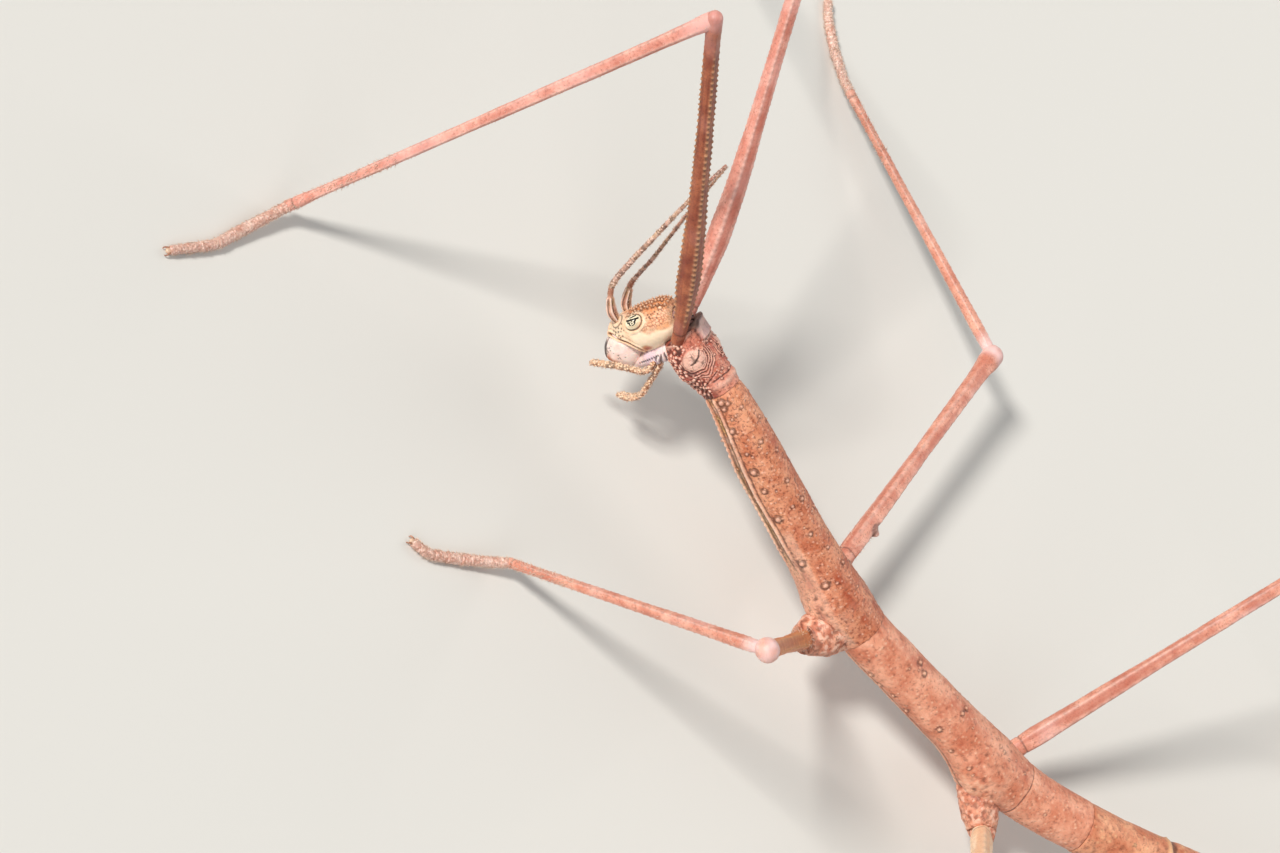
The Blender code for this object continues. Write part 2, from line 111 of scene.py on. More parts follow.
def random_at(cells: Array, salt: int) -> Array:
    """A fixed random number for every whole-number cell.

    Args:
        cells: Whole numbers, three to a cell.
        salt: The pattern's number.

    Returns:
        Numbers from 0 to 1.
    """
    mixed = (cells[..., 0] * 73856093) ^ (cells[..., 1] * 19349663) ^ (cells[..., 2] * 83492791)
    mixed = mixed ^ (salt * 40503)
    mixed = (mixed ^ (mixed >> 13)) * 1274126177
    mixed = (mixed ^ (mixed >> 16)) & 0xFFFFFF
    return mixed / float(0xFFFFFF)


def soft_noise(points: Array, size: float, salt: int) -> Array:
    """Soft blobs in space.

    Args:
        points: Positions, mm.
        size: How far apart the blobs are, mm.
        salt: The pattern's number.

    Returns:
        Numbers from -1 to 1.
    """
    scaled = points / size
    cell = np.floor(scaled).astype(np.int64)
    part = scaled - cell
    part = part * part * (3.0 - 2.0 * part)
    total = np.zeros(points.shape[:-1])
    for corner in itertools.product((0, 1), repeat=3):
        weight = np.prod(np.where(corner, part, 1.0 - part), axis=-1)
        total += weight * random_at(cell + corner, salt)
    return 2.0 * total - 1.0


def pebbles(points: Array, size: float, salt: int) -> tuple[Array, Array, Array]:
    """Cells round scattered seeds.

    Args:
        points: Positions, mm.
        size: The cells' usual width, mm.
        salt: The pattern's number.

    Returns:
        The distances to the two nearest seeds, in cells, and the nearest seed's own number.
    """
    scaled = points / size
    base = np.floor(scaled).astype(np.int64)
    nearest = np.full(points.shape[:-1], 9.0)
    second = nearest.copy()
    own = np.zeros_like(nearest)
    for shift in itertools.product((-1, 0, 1), repeat=3):
        cell = base + shift
        seed = cell + np.stack([random_at(cell, salt + axis) for axis in (1, 2, 3)], axis=-1)
        reach = np.linalg.norm(scaled - seed, axis=-1)
        second = np.minimum(second, np.maximum(nearest, reach))
        own = np.where(reach < nearest, random_at(cell, salt + 4), own)
        nearest = np.minimum(nearest, reach)
    return nearest, second, own


def hump(value: Array, centre: Array | float, width: float) -> Array:
    """A smooth hump that is 1 at the centre and fades over this width."""
    return np.exp(-(((value - centre) / width) ** 2))


def step_up(value: Array, low: float, high: float) -> Array:
    """A smooth rise from 0 at low to 1 at high; it falls where low is the larger."""
    share = np.clip((value - low) / (high - low), 0.0, 1.0)
    return share * share * (3.0 - 2.0 * share)


def window(value: Array, low: float, high: float, soft: float) -> Array:
    """Is 1 between low and high, and fades outside over a soft edge."""
    return step_up(value, low - soft, low) * step_up(value, high + soft, high)


def ripple(value: Array, period: float, shift: Array | float = 0.0) -> Array:
    """A wave from -1 to 1 that repeats after each period."""
    return np.cos(2.0 * np.pi * value / period + shift)


def turn_from(turn: Array, centre: float) -> Array:
    """The angle from the centre, from -180 to 180 degrees."""
    return (turn - centre + 180.0) % 360.0 - 180.0


# --- lines and profiles ---


def oval(turn: Array, half: Array, height: Array, depth: Array | None = None) -> Offsets:
    """An oval section.

    Args:
        turn: The angles.
        half: Its half width.
        height: Its reach above the rail.
        depth: Its reach below, where that differs.

    Returns:
        Offsets to the left and up.
    """
    angle = np.radians(turn)
    reach = np.where(np.sin(angle) > 0.0, height, height if depth is None else depth)
    return half * np.cos(angle), reach * np.sin(angle)


@dataclass(frozen=True)
class Profile:
    """Sizes given at a few distances, read smoothly between them."""

    rows: Rows
    softness: float = 0.0
    flat: float = 1.0

    def read(self, at: Array) -> list[Array]:
        """Reads each size.

        Args:
            at: Distances.

        Returns:
            One array for each size.
        """
        table = np.array(self.rows)
        weights = ((-1.0, 0.12), (-0.5, 0.23), (0.0, 0.30), (0.5, 0.23), (1.0, 0.12))
        return [
            sum(
                np.interp(at + shift * self.softness, table[:, 0], size) * weight for shift, weight in weights
            )
            for size in table[:, 1:].T
        ]

    def girth(self, at: Array, turn: Array) -> Offsets:
        """An oval section of half width, height and depth; one size alone is flattened upwards."""
        sizes = self.read(at)
        return oval(turn, *sizes) if len(sizes) == 3 else oval(turn, sizes[0], sizes[0] * self.flat)


@dataclass(frozen=True)
class Rail:
    """A line in space with a left and an up direction at each point."""

    distances: Array
    points: Array
    lefts: Array
    ups: Array

    SPARE = 3.0

    @classmethod
    def through(cls, points: Sequence[Vector] | Array, upright: Sequence[float] = UPRIGHT) -> "Rail":
        """A rail along a row of points.

        Args:
            points: Where it runs, mm.
            upright: The direction that its up side keeps nearest to.

        Returns:
            The rail, with a straight spare length at both ends.
        """
        line = np.array([tuple(point) for point in points], float)
        ahead = np.gradient(line, axis=0)
        ahead /= np.linalg.norm(ahead, axis=1, keepdims=True)
        line = np.vstack((line[0] - ahead[0] * cls.SPARE, line, line[-1] + ahead[-1] * cls.SPARE))
        ahead = np.vstack((ahead[0], ahead, ahead[-1]))
        lefts = np.cross(np.array(upright), ahead)
        lefts /= np.linalg.norm(lefts, axis=1, keepdims=True)
        walked = np.concatenate(([0.0], np.cumsum(np.linalg.norm(np.diff(line, axis=0), axis=1))))
        return cls(walked - cls.SPARE, line, lefts, np.cross(ahead, lefts))

    @property
    def length(self) -> float:
        """Its length without the spare ends."""
        return float(self.distances[-1] - self.SPARE)

    def read(self, along: Array) -> tuple[Array, Array, Array]:
        """Reads the rail.

        Args:
            along: Distances from its start.

        Returns:
            The points, and the left and up directions.
        """
        point, left, up = (
            np.stack([np.interp(along, self.distances, column) for column in track.T], axis=-1)
            for track in (self.points, self.lefts, self.ups)
        )
        left /= np.linalg.norm(left, axis=-1, keepdims=True)
        return point, left, up / np.linalg.norm(up, axis=-1, keepdims=True)

    def spot(self, along: float, out: float, above: float) -> Vector:
        """A point beside the rail."""
        point, left, up = self.read(np.array([along]))
        return Vector(point[0] + left[0] * out + up[0] * above)


def smooth_path(points: Sequence[Sequence[float]], count: int) -> Array:
    """Points on a smooth curve.

    Args:
        points: The points that it passes.
        count: How many to give back.

    Returns:
        The curve's points.
    """
    known = np.array([tuple(point) for point in points], float)
    ends = np.vstack((2 * known[0] - known[1], known, 2 * known[-1] - known[-2]))
    at = np.linspace(0.0, len(known) - 1.0, count)
    span = np.minimum(at.astype(int), len(known) - 2)
    t = (at - span)[:, None]
    a, b, c, d = (ends[span + step] for step in range(4))
    return 0.5 * (2 * b + (c - a) * t + (2 * a - 5 * b + 4 * c - d) * t**2 + (3 * b - a - 3 * c + d) * t**3)


def capped(start: float, end: float, count: int, front: float, rear: float, steps: int = 7) -> Array:
    """Rings along a shell, closed by a dome at both ends.

    Args:
        start: The distance of the first full-size ring.
        end: The distance of the last.
        count: How many full-size rings there are.
        front: Depth of the dome before the first.
        rear: Depth of the dome after the last.
        steps: Rings in each dome.

    Returns:
        Rows of a distance and a scale.
    """
    angles = np.radians(np.linspace(90.0, 90.0 / steps, steps))
    first = np.stack((start - front * np.sin(angles), np.cos(angles)), axis=1)
    last = np.stack((end + rear * np.sin(angles), np.cos(angles)), axis=1)[::-1]
    return np.vstack((first, np.stack((np.linspace(start, end, count), np.ones(count)), axis=1), last))


# --- finishes ---


def linear(colour: str) -> tuple[float, float, float, float]:
    """Turns six hex digits of sRGB into linear red, green, blue and an alpha of 1."""
    parts = (int(colour[place : place + 2], 16) / 255.0 for place in (0, 2, 4))
    return *(part / 12.92 if part <= 0.04045 else ((part + 0.055) / 1.055) ** 2.4 for part in parts), 1.0


def add_node(
    tree: Tree, kind: str, values: dict | None = None, links: dict | None = None, **settings: object
) -> bpy.types.Node:
    """Adds a node with its settings and links.

    Args:
        tree: The material's node tree.
        kind: The node's type.
        values: Input values, by name or number.
        links: Sockets to join to inputs, by name or number.
        **settings: The node's own properties.

    Returns:
        The node.
    """
    node = tree.nodes.new(kind)
    for name, value in settings.items():
        setattr(node, name, value)
    for socket, value in (values or {}).items():
        node.inputs[socket].default_value = value
    for socket, source in (links or {}).items():
        tree.links.new(source, node.inputs[socket])
    return node


def per_metre(size: float) -> float:
    """The scale of a pattern whose grains are this many millimetres apart."""
    return 1.0 / (size * MM)


@dataclass(frozen=True)
class Finish:
    """A surface whose ground colour lies under a shell's marks: stains, and painted shade and highlights."""

    name: str

    def material(self) -> bpy.types.Material:
        """The material, built the first time it is asked for.

        Returns:
            The node material.
        """
        material = bpy.data.materials.get(self.name)
        if material:
            return material
        material = bpy.data.materials.new(self.name)
        material.use_nodes = True
        tree = material.node_tree
        tree.nodes.clear()
        place = add_node(tree, "ShaderNodeTexCoord").outputs["Object"]
        marks = add_node(tree, "ShaderNodeAttribute", attribute_name=MARKS)
        split = add_node(tree, "ShaderNodeSeparateColor", links={0: marks.outputs["Color"]})
        amounts = (*split.outputs, marks.outputs["Alpha"])
        shade = self.ground_colour(tree, place)
        for kind, colour in self.stains().items():
            shade = add_node(
                tree, "ShaderNodeMix", {7: linear(colour)}, {0: amounts[kind.value], 6: shade},
                data_type="RGBA",
                clamp_factor=True,
            ).outputs[2]
        shader = self.surface(tree, place, shade)
        add_node(tree, "ShaderNodeOutputMaterial", links={"Surface": shader.outputs[0]})
        return material


@dataclass(frozen=True)
class Cuticle(Finish):
    """Insect cuticle: tanned chitin over pale tissue, dry and slightly waxy.

    The eye reads it as bark or twig: clouds of two close browns, fine dark stipples, and a satin light
    on ridges.
    """

    ground: str
    light: str
    stipple: str
    pale: str
    dark: str
    warm: str
    olive: str
    cloud_mm: float = 1.1
    stipple_mm: float = 0.16
    stipple_share: float = 0.55
    stipple_from: float = 0.52
    grain_mm: float = 0.10
    grain_depth_mm: float = 0.035
    roughness: float = 0.48
    glow: float = 0.12
    gloss: float = 0.45

    IOR = 1.55

    def stains(self) -> dict[Mark, str]:
        """The colour of each stain, from the lowest."""
        return {Mark.WARM: self.warm, Mark.OLIVE: self.olive, Mark.PALE: self.pale, Mark.DARK: self.dark}

    def ground_colour(self, tree: Tree, place: Socket) -> Socket:
        """Two close tones in drifting clouds, under dark stipples.

        Args:
            tree: The material's node tree.
            place: The coordinates.

        Returns:
            The colour socket.
        """
        share, amount = (
            add_node(tree, "ShaderNodeMapRange", {1: low, 2: high, 4: top}, {0: add_node(
                tree, "ShaderNodeTexNoise", {"Scale": per_metre(size), "Detail": detail, "Roughness": rough},
                {"Vector": place},
            ).outputs["Fac"]}).outputs[0]
            for size, detail, rough, low, high, top in (
                (self.cloud_mm, 5.0, 0.6, 0.38, 0.64, 1.0),
                (self.stipple_mm, 3.0, 0.7, self.stipple_from, self.stipple_from + 0.14, self.stipple_share),
            )
        )
        clouds = add_node(
            tree, "ShaderNodeMix", {6: linear(self.ground), 7: linear(self.light)}, {0: share},
            data_type="RGBA"
        )
        return add_node(
            tree, "ShaderNodeMix", {7: linear(self.stipple)}, {0: amount, 6: clouds.outputs[2]},
            data_type="RGBA",
            clamp_factor=True,
        ).outputs[2]

    def surface(self, tree: Tree, place: Socket, shade: Socket) -> bpy.types.Node:
        """Uneven wax over a fine grit that glows a little.

        Args:
            tree: The material's node tree.
            place: The coordinates.
            shade: The colour.

        Returns:
            The shader.
        """
        fine = add_node(
            tree, "ShaderNodeTexNoise", {"Scale": per_metre(self.grain_mm), "Detail": 4.0, "Roughness": 0.65},
            {"Vector": place},
        ).outputs["Fac"]
        wax = add_node(
            tree, "ShaderNodeMapRange", {3: self.roughness - 0.10, 4: self.roughness + 0.12}, {0: fine}
        )
        grit = add_node(
            tree, "ShaderNodeBump", {"Strength": 0.55, "Distance": self.grain_depth_mm * MM}, {"Height": fine}
        )
        return add_node(
            tree, "ShaderNodeBsdfPrincipled",
            {
                "IOR": self.IOR, "Specular IOR Level": self.gloss, "Subsurface Weight": self.glow,
                "Subsurface Scale": 0.25 * MM, "Subsurface Radius": (1.0, 0.45, 0.25),
            },
            {"Base Color": shade, "Roughness": wax.outputs[0], "Normal": grit.outputs[0]},
        )


# Each row's colours are the ground, light clouds, stipples, and the pale, dark, warm and olive stains.
# Scurfy plate of the middle thorax, which looks like the bark of a salmon-brown twig.
BARK = Cuticle(
    "salmon_brown_cuticle", "C8744E", "E8A27C", "6E2E1A", "F6CEB6", "2A100A", "A8441F", "C4934E",
    stipple_mm=0.19, stipple_share=0.72, stipple_from=0.51,
)
# Plate of the rear thorax: a smoother and pinker bark.
SMOOTH_BARK = Cuticle(
    "smooth_salmon_cuticle", "CE7B5B", "EEAA8B", "84391F", "F6D2B4", "30130C", "B4502E", "A9743C",
    cloud_mm=1.5, stipple_mm=0.21, stipple_from=0.56,
)
# Beaded neck shield, which looks raw and red, with grey-lilac patches on its hood.
COLLAR = Cuticle(
    "granular_red_cuticle", "C66E55", "E69C82", "7A3020", "F7D0BC", "28100A", "AC4432", "C29C98",
    stipple_mm=0.15, stipple_share=0.75, stipple_from=0.505, grain_mm=0.08,
)
# Leathery folds of the legs' roots, pale on their crests.
ROOT = Cuticle(
    "wrinkled_coxa_cuticle", "CE8062", "ECAA8C", "7C3828", "F5CDB6", "38180E", "B45436", "D0987C",
    cloud_mm=0.8, stipple_mm=0.17, stipple_share=0.6,
)
# Rings of the abdomen: bark with straw-coloured patches.
BELLY = Cuticle(
    "abdomen_cuticle", "C87754", "E8A680", "7C3A20", "F2D2A0", "341810", "AC4C2C", "CC9A50",
    cloud_mm=1.6, stipple_mm=0.19, stipple_share=0.6,
)
# Head capsule, which shines like tan leather and pales to cream on the cheeks.
CROWN = Cuticle(
    "tan_head_cuticle", "E2A274", "F2C6A2", "A8522A", "F8E4C6", "241008", "B04A22", "DE8850", cloud_mm=0.6,
    stipple_mm=0.11, stipple_share=0.5, stipple_from=0.56, grain_mm=0.07, grain_depth_mm=0.02, roughness=0.42,
)
# Thin skin of the mouthparts, which looks moist, pink and soft.
LIPS = Cuticle(
    "pinkish_mouth_cuticle", "EACBC0", "F6E2D8", "C08C86", "F8E6E2", "1C0A0A", "C46A28", "D8BCCC",
    cloud_mm=0.5,
    stipple_mm=0.2, stipple_share=0.3, stipple_from=0.6, grain_mm=0.09, grain_depth_mm=0.012, roughness=0.36,
    glow=0.2,
)
# Antennae: brown, with a tight shine; on the scape the pale ridges are painted highlights and the dark strips
# beside them painted shadow.
FEELER = Cuticle(
    "antenna_cuticle", "A4684E", "D8A48A", "5E2E1A", "F2D4C4", "20100A", "A4492C", "B4A060",
    cloud_mm=0.5, stipple_mm=0.1, roughness=0.38,
)
# The legs' hard skin is smooth and shines on its keels, in the tones of one twig: chestnut, rose, pink,
# cream and tan.
LIMB = Cuticle(
    "keeled_leg_cuticle", "8E3E22", "B5653F", "581F10", "E8B88A", "220C06", "7A2A14", "DC9A90",
    stipple_mm=0.13, roughness=0.42, gloss=0.5,
)
FAIR_LIMB, PINK_LIMB, CREAM_LIMB, TAN_LIMB = (
    Cuticle(*colours, stipple_mm=0.14, roughness=0.42, gloss=0.5)
    for colours in (
        ("fair_leg_cuticle", "D0826A", "ECAC94", "8C4836", "F6D8CC", "32160F", "B45C46", "F0CAC6"),
        ("pink_leg_cuticle", "D38572", "EFB09E", "96503E", "F6DCCE", "3A1A14", "BC6450", "EBB0A6"),
        ("cream_leg_cuticle", "F1CBA6", "FBE2C4", "C08C66", "FCECD4", "4A2A1A", "E2AE88", "F8E2C6"),
        ("tan_leg_cuticle", "CE6A30", "EA9450", "7C300E", "F6C488", "300F04", "B04C18", "F0CAC6"),
    )
)
# Feet: paler than the legs, dull under their hairs.
FOOT = Cuticle(
    "pinkish_foot_cuticle", "DFA894", "F5D2C2", "9C6450", "FBEADE", "5A3024", "D8947A", "ECC6B4",
    cloud_mm=0.5, stipple_mm=0.12, stipple_share=0.65, roughness=0.42,
)
# Bare chitin hairs, which catch the light like pale amber.
BRISTLE = Cuticle(
    "pale_amber_bristles", "E0C0A8", "FBE8D8", "A8806A", "F6ECD8", "4A2E20", "8A5A3A", "A08C60",
    cloud_mm=0.4, roughness=0.35, glow=0.0,
)
# Claws: dark hard chitin, as shiny as horn.
CLAW = Cuticle(
    "dark_claw_cuticle", "8A5A44", "B98468", "5A3222", "E8C8AC", "1E0E0A", "6A3020", "7A5A38",
    cloud_mm=0.3, roughness=0.28, gloss=0.6,
)


@dataclass(frozen=True)
class EyeLens(Finish):
    """A compound eye: a clear cornea over cream pigment, so it has dark crescents and a wet highlight."""

    name: str = "cream_compound_eye"
    cream: str = "FCF2DA"
    shadow: str = "F3E2B6"
    amber: str = "B98A48"
    dark: str = "140C08"
    cloud_mm: float = 0.15
    facet_mm: float = 0.03
    facet_depth_mm: float = 0.004

    ROUGHNESS = 0.16
    IOR = 1.45

    def stains(self) -> dict[Mark, str]:
        """The colour of each stain, from the lowest."""
        return {Mark.WARM: self.amber, Mark.DARK: self.dark}

    def ground_colour(self, tree: Tree, place: Socket) -> Socket:
        """Cream pigment in faint clouds.

        Args:
            tree: The material's node tree.
            place: The coordinates.

        Returns:
            The colour socket.
        """
        cloud = add_node(
            tree, "ShaderNodeTexNoise", {"Scale": per_metre(self.cloud_mm), "Detail": 3.0}, {"Vector": place}
        )
        return add_node(
            tree, "ShaderNodeMix", {6: linear(self.cream), 7: linear(self.shadow)}, {0: cloud.outputs["Fac"]},
            data_type="RGBA",
        ).outputs[2]

    def surface(self, tree: Tree, place: Socket, shade: Socket) -> bpy.types.Node:
        """A smooth lens with faint facets.

        Args:
            tree: The material's node tree.
            place: The coordinates.
            shade: The colour.

        Returns:
            The shader.
        """
        facets = add_node(
            tree, "ShaderNodeTexVoronoi", {"Scale": per_metre(self.facet_mm)}, {"Vector": place}
        )
        relief = add_node(
            tree, "ShaderNodeBump", {"Strength": 0.4, "Distance": self.facet_depth_mm * MM},
            {"Height": facets.outputs["Distance"]}, invert=True,
        )
        return add_node(
            tree, "ShaderNodeBsdfPrincipled", {"Roughness": self.ROUGHNESS, "IOR": self.IOR},
            {"Base Color": shade, "Normal": relief.outputs[0]},
        )


# --- shells ---


def add_object(name: str, data: bpy.types.ID) -> bpy.types.Object:
    """Adds an object to the scene.

    Args:
        name: Its name.
        data: What it shows.

    Returns:
        The object.
    """
    item = bpy.data.objects.new(name, data)
    bpy.context.scene.collection.objects.link(item)
    return item


@dataclass
class Shell:
    """A closed surface wrapped round a rail, kept as rings of points while it is carved."""

    name: str
    along: Array
    turn: Array
    place: Array
    base: Array
    outward: Array
    marks: Array

    # (size, weight) of each layer of rough noise.
    LAYERS = ((1.0, 0.6), (0.5, 0.28), (0.24, 0.16))

    @classmethod
    def wrap(cls, name: str, rail: Rail, rings: Array, sides: int, girth: Girth) -> "Shell":
        """Wraps a surface round a rail.

        Args:
            name: The piece's name.
            rail: The line to wrap.
            rings: Rows of a distance and a scale, closed to a point at both ends.
            sides: Points in each ring.
            girth: Gives the offsets to the left and up for distances and angles.

        Returns:
            The shell.
        """
        along, scale = rings[:, 0], rings[:, 1][:, None]
        turn = np.arange(sides) * 360.0 / sides
        across, above = girth(*np.meshgrid(along, turn, indexing="ij"))
        point, left, up = rail.read(along)
        place = point[:, None] + left[:, None] * (across * scale)[..., None]
        place = place + up[:, None] * (above * scale)[..., None]
        outward = np.cross(np.gradient(place, axis=0), np.roll(place, -1, axis=1) - np.roll(place, 1, axis=1))
        outward *= np.sign(((place - point[:, None]) * outward).sum())
        outward /= np.maximum(np.linalg.norm(outward, axis=-1, keepdims=True), 1e-12)
        marks = np.zeros((*place.shape[:2], len(Mark)))
        return cls(name, along, turn, place, place.copy(), outward, marks)

    def carve(self, lift: Array | float = 0.0, clean: Array | float = 0.0, **stains: Array | float) -> None:
        """Works the surface: fades its old stains, moves it outwards and stains it at least this strongly.

        Args:
            lift: How far outwards, mm.
            clean: 1 where every old stain goes.
            **stains: From 0 to 1, by the mark's name in small letters.
        """
        self.marks = self.marks * (1.0 - np.clip(clean, 0.0, 1.0))[..., None]
        self.place = self.place + self.outward * np.asarray(lift)[..., None]
        for kind, amount in stains.items():
            channel = self.marks[..., Mark[kind.upper()].value]
            np.maximum(channel, np.clip(amount, 0.0, 1.0), out=channel)

    def grid(self) -> Offsets:
        """The distance and the angle of every point."""
        return np.meshgrid(self.along, self.turn, indexing="ij")

    def outer(self, side: Side) -> Array:
        """Every point's angle from the middle of one side, positive towards the back."""
        return turn_from(side.turned(self.grid()[1]), 0.0)

    def beside(self, angle: float, width: float) -> Array:
        """A hump round this angle."""
        return hump(turn_from(self.grid()[1], angle), 0.0, width)

    def rise(self) -> Array:
        """Is 1 on the back, 0 on the flanks and -1 underneath."""
        return np.sin(np.radians(self.grid()[1]))

    def soft(
        self, size: float, salt: int, low: float = 0.0, high: float = 0.0, stretch: Triple = EVEN
    ) -> Array:
        """Soft noise.

        Args:
            size: How far apart its blobs are, mm.
            salt: The pattern's number.
            low: Where its patches begin.
            high: Where they are full. Without patches, the noise itself is given.
            stretch: How much closer the blobs stand along each axis.

        Returns:
            Numbers from -1 to 1, or patches from 0 to 1.
        """
        noise = soft_noise(self.base * stretch, size, salt)
        return noise if low == high else step_up(noise, low, high)

    def rough(
        self, size: float, salt: int, low: float = 0.0, high: float = 0.0, stretch: Triple = EVEN
    ) -> Array:
        """Soft noise with finer layers on it; it takes and gives what soft does."""
        noise = sum(
            self.soft(size * part, salt + n, stretch=stretch) * w for n, (part, w) in enumerate(self.LAYERS)
        )
        return noise if low == high else step_up(noise, low, high)

    def lines(self, size: float, salt: int, width: float, stretch: Triple = EVEN) -> Array:
        """Thin wandering lines, where soft noise passes zero."""
        return step_up(np.abs(self.soft(size, salt, stretch=stretch)), width, 0.0)

    def spot(self, along: float, turn: float) -> Array:
        """How far every point is from one point of the surface.

        Args:
            along: That point's distance.
            turn: Its angle.

        Returns:
            Distances, mm.
        """
        row = int(np.abs(self.along - along).argmin())
        column = int(round((turn % 360.0) / 360.0 * len(self.turn))) % len(self.turn)
        return np.linalg.norm(self.base - self.base[row, column], axis=-1)

    def track(self, side: Side, points: Rows, samples: int = 14) -> Array:
        """How far every point is from a line on the surface.

        Args:
            side: Which side it runs on.
            points: Rows of a distance and an angle on the left side.
            samples: Points taken on each stretch.

        Returns:
            Distances, mm.
        """
        stops = np.array([(along, side.turned(turn)) for along, turn in points])
        at = np.linspace(0.0, len(stops) - 1.0, (len(stops) - 1) * samples + 1)
        return np.minimum.reduce([
            self.spot(along, turn)
            for along, turn in zip(*(np.interp(at, np.arange(len(stops)), column) for column in stops.T))
        ])

    def grain(self, size: float, depth: float, salt: int) -> None:
        """Covers the shell with rough grain of this size and depth, and with slow swells."""
        self.carve(depth * self.rough(size, salt) + depth * 1.4 * self.soft(1.3, salt + 9))

    def granules(
        self, size: float, height: float, share: float, where: Array | float, salt: int, spread: float = 0.42
    ) -> Array:
        """Scatters small round granules.

        Args:
            size: How far apart they are, mm.
            height: Their height, mm.
            share: The share of places that hold one.
            where: 1 where they grow.
            salt: The pattern's number.
            spread: The radius of each, as a share of their spacing.

        Returns:
            How much of a granule stands at each point, from 0 to 1.
        """
        nearest, _, own = pebbles(self.base, size, salt)
        grain = np.clip(1.0 - (nearest / spread) ** 2, 0.0, 1.0) * (own < share) * where
        self.carve(height * grain)
        return grain

    def wart(self, along: float, turn: float, radius: float, height: float, pale: float = 0.45) -> None:
        """Raises a rounded wart with a pale tip, ringed at its base by painted shade.

        Args:
            along: Its distance.
            turn: Its angle.
            radius: Its radius, mm.
            height: Its height, mm.
            pale: How pale its tip is.
        """
        reach = self.spot(along, turn) / radius
        # The dark ring round the wart's base is painted shade.
        self.carve(
            height * np.exp(-(reach**2.4)) - 0.12 * height * hump(reach, 1.75, 0.4),
            dark=0.68 * hump(reach, 1.20, 0.28)
        )
        self.carve(
            clean=step_up(reach, 0.9, 0.5), pale=pale * step_up(reach, 0.7, 0.2),
            warm=(0.8 - 0.6 * pale) * step_up(reach, 1.0, 0.6),
        )

    def scatter(
        self, chance: np.random.Generator, count: int, alongs: Sequence[float], turns: Sequence[float],
        radii: Sequence[float], height: float, pale: float,
    ) -> None:
        """Strews small warts.

        Args:
            chance: Picks their places.
            count: How many.
            alongs: Between which distances.
            turns: Between which angles.
            radii: Between which radii, mm.
            height: Their height, mm.
            pale: How pale their tips are.
        """
        for _ in range(count):
            self.wart(*(chance.uniform(*limits) for limits in (alongs, turns, radii)), height, pale)

    def groove(self, reach: Array, width: float, depth: float, dark: float) -> None:
        """Sinks a line into the surface.

        Args:
            reach: Distances from the line, mm.
            width: Its half width.
            depth: How deep it is.
            dark: How dark its bottom is.
        """
        self.carve(-depth * hump(reach, 0.0, width), dark=dark * hump(reach, 0.0, width * 0.8))

    def freckle(self, at: float, turn: float, radius: float) -> None:
        """A small dark pit."""
        self.groove(self.spot(at, turn), radius * 1.25, 0.02, 1.0)

    def weather(self, relief_mm: float = 0.02, dark: float = 0.7, pale: float = 0.45) -> None:
        """Paints shade into the hollows of the carving and a highlight onto its crests.

        Args:
            relief_mm: The depth that is painted fully.
            dark: How strongly the painted shade darkens hollows.
            pale: How strongly the painted highlight brightens crests.
        """
        relief = ((self.place - self.base) * self.outward).sum(axis=-1)
        level = relief
        for reach, axis in itertools.product((1, 2, 3), (0, 1)):
            level = (level + np.roll(level, reach, axis) + np.roll(level, -reach, axis)) / 3.0
        sharp = (relief - level) / relief_mm
        # Painted shade in the hollows, painted highlight on the crests.
        self.carve(dark=dark * np.clip(-sharp - 0.15, 0.0, 1.0), pale=pale * np.clip(sharp - 0.2, 0.0, 1.0))

    def above_floor(self) -> None:
        """Keeps the surface a hair's breadth off the floor."""
        self.place[..., 2] = np.maximum(self.place[..., 2], 0.004)

    def object(self, finish: Finish, tile: int = 0, tiles: int = 1) -> bpy.types.Object:
        """Makes the shell a smooth closed object.

        Args:
            finish: What it is made of.
            tile: Which upright strip of the UV square it takes.
            tiles: How many strips there are.

        Returns:
            The object.
        """
        for stack in (self.place, self.marks):
            stack[0], stack[-1] = stack[0].mean(axis=0), stack[-1].mean(axis=0)
        rows, sides = self.place.shape[:2]
        shape = bmesh.new()
        shape.loops.layers.uv.new(BAKE_MAP)
        bmesh.ops.create_grid(shape, x_segments=rows - 1, y_segments=sides, size=0.5, calc_uvs=True)
        mesh = bpy.data.meshes.new(self.name)
        shape.to_mesh(mesh)
        flat = np.empty(len(mesh.vertices) * 3)
        mesh.vertices.foreach_get("co", flat)
        spot = flat.reshape(-1, 3) + 0.5
        row = np.rint(spot[:, 0] * (rows - 1)).astype(int)
        column = np.rint(spot[:, 1] * sides).astype(int) % sides
        mesh.vertices.foreach_set("co", (self.place[row, column] * MM).ravel())
        stains = mesh.color_attributes.new(MARKS, "FLOAT_COLOR", "POINT")
        stains.data.foreach_set("color", self.marks[row, column].ravel())
        sheet = mesh.uv_layers[BAKE_MAP].data
        spread = np.empty(len(sheet) * 2)
        sheet.foreach_get("uv", spread)
        spread[0::2] = (spread[0::2] + tile) / tiles
        sheet.foreach_set("uv", spread)
        shape.clear()
        shape.from_mesh(mesh)
        bmesh.ops.remove_doubles(shape, verts=shape.verts, dist=WELD)
        bmesh.ops.recalc_face_normals(shape, faces=shape.faces)
        shape.to_mesh(mesh)
        shape.free()
        mesh.shade_smooth()
        mesh.materials.append(finish.material())
        return add_object(self.name, mesh)


def show(piece: bpy.types.Object, slot: str, *nodes: str) -> None:
    """Adds a finished piece to the model.

    Args:
        piece: The object.
        slot: The name of a material slot; it is not used.
        *nodes: The CAD nodes that it stands for.
    """
    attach(piece, BODY)
    for node in nodes:
        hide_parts(node)
    LOG.info("%s: %d faces", piece.name, len(piece.data.polygons))


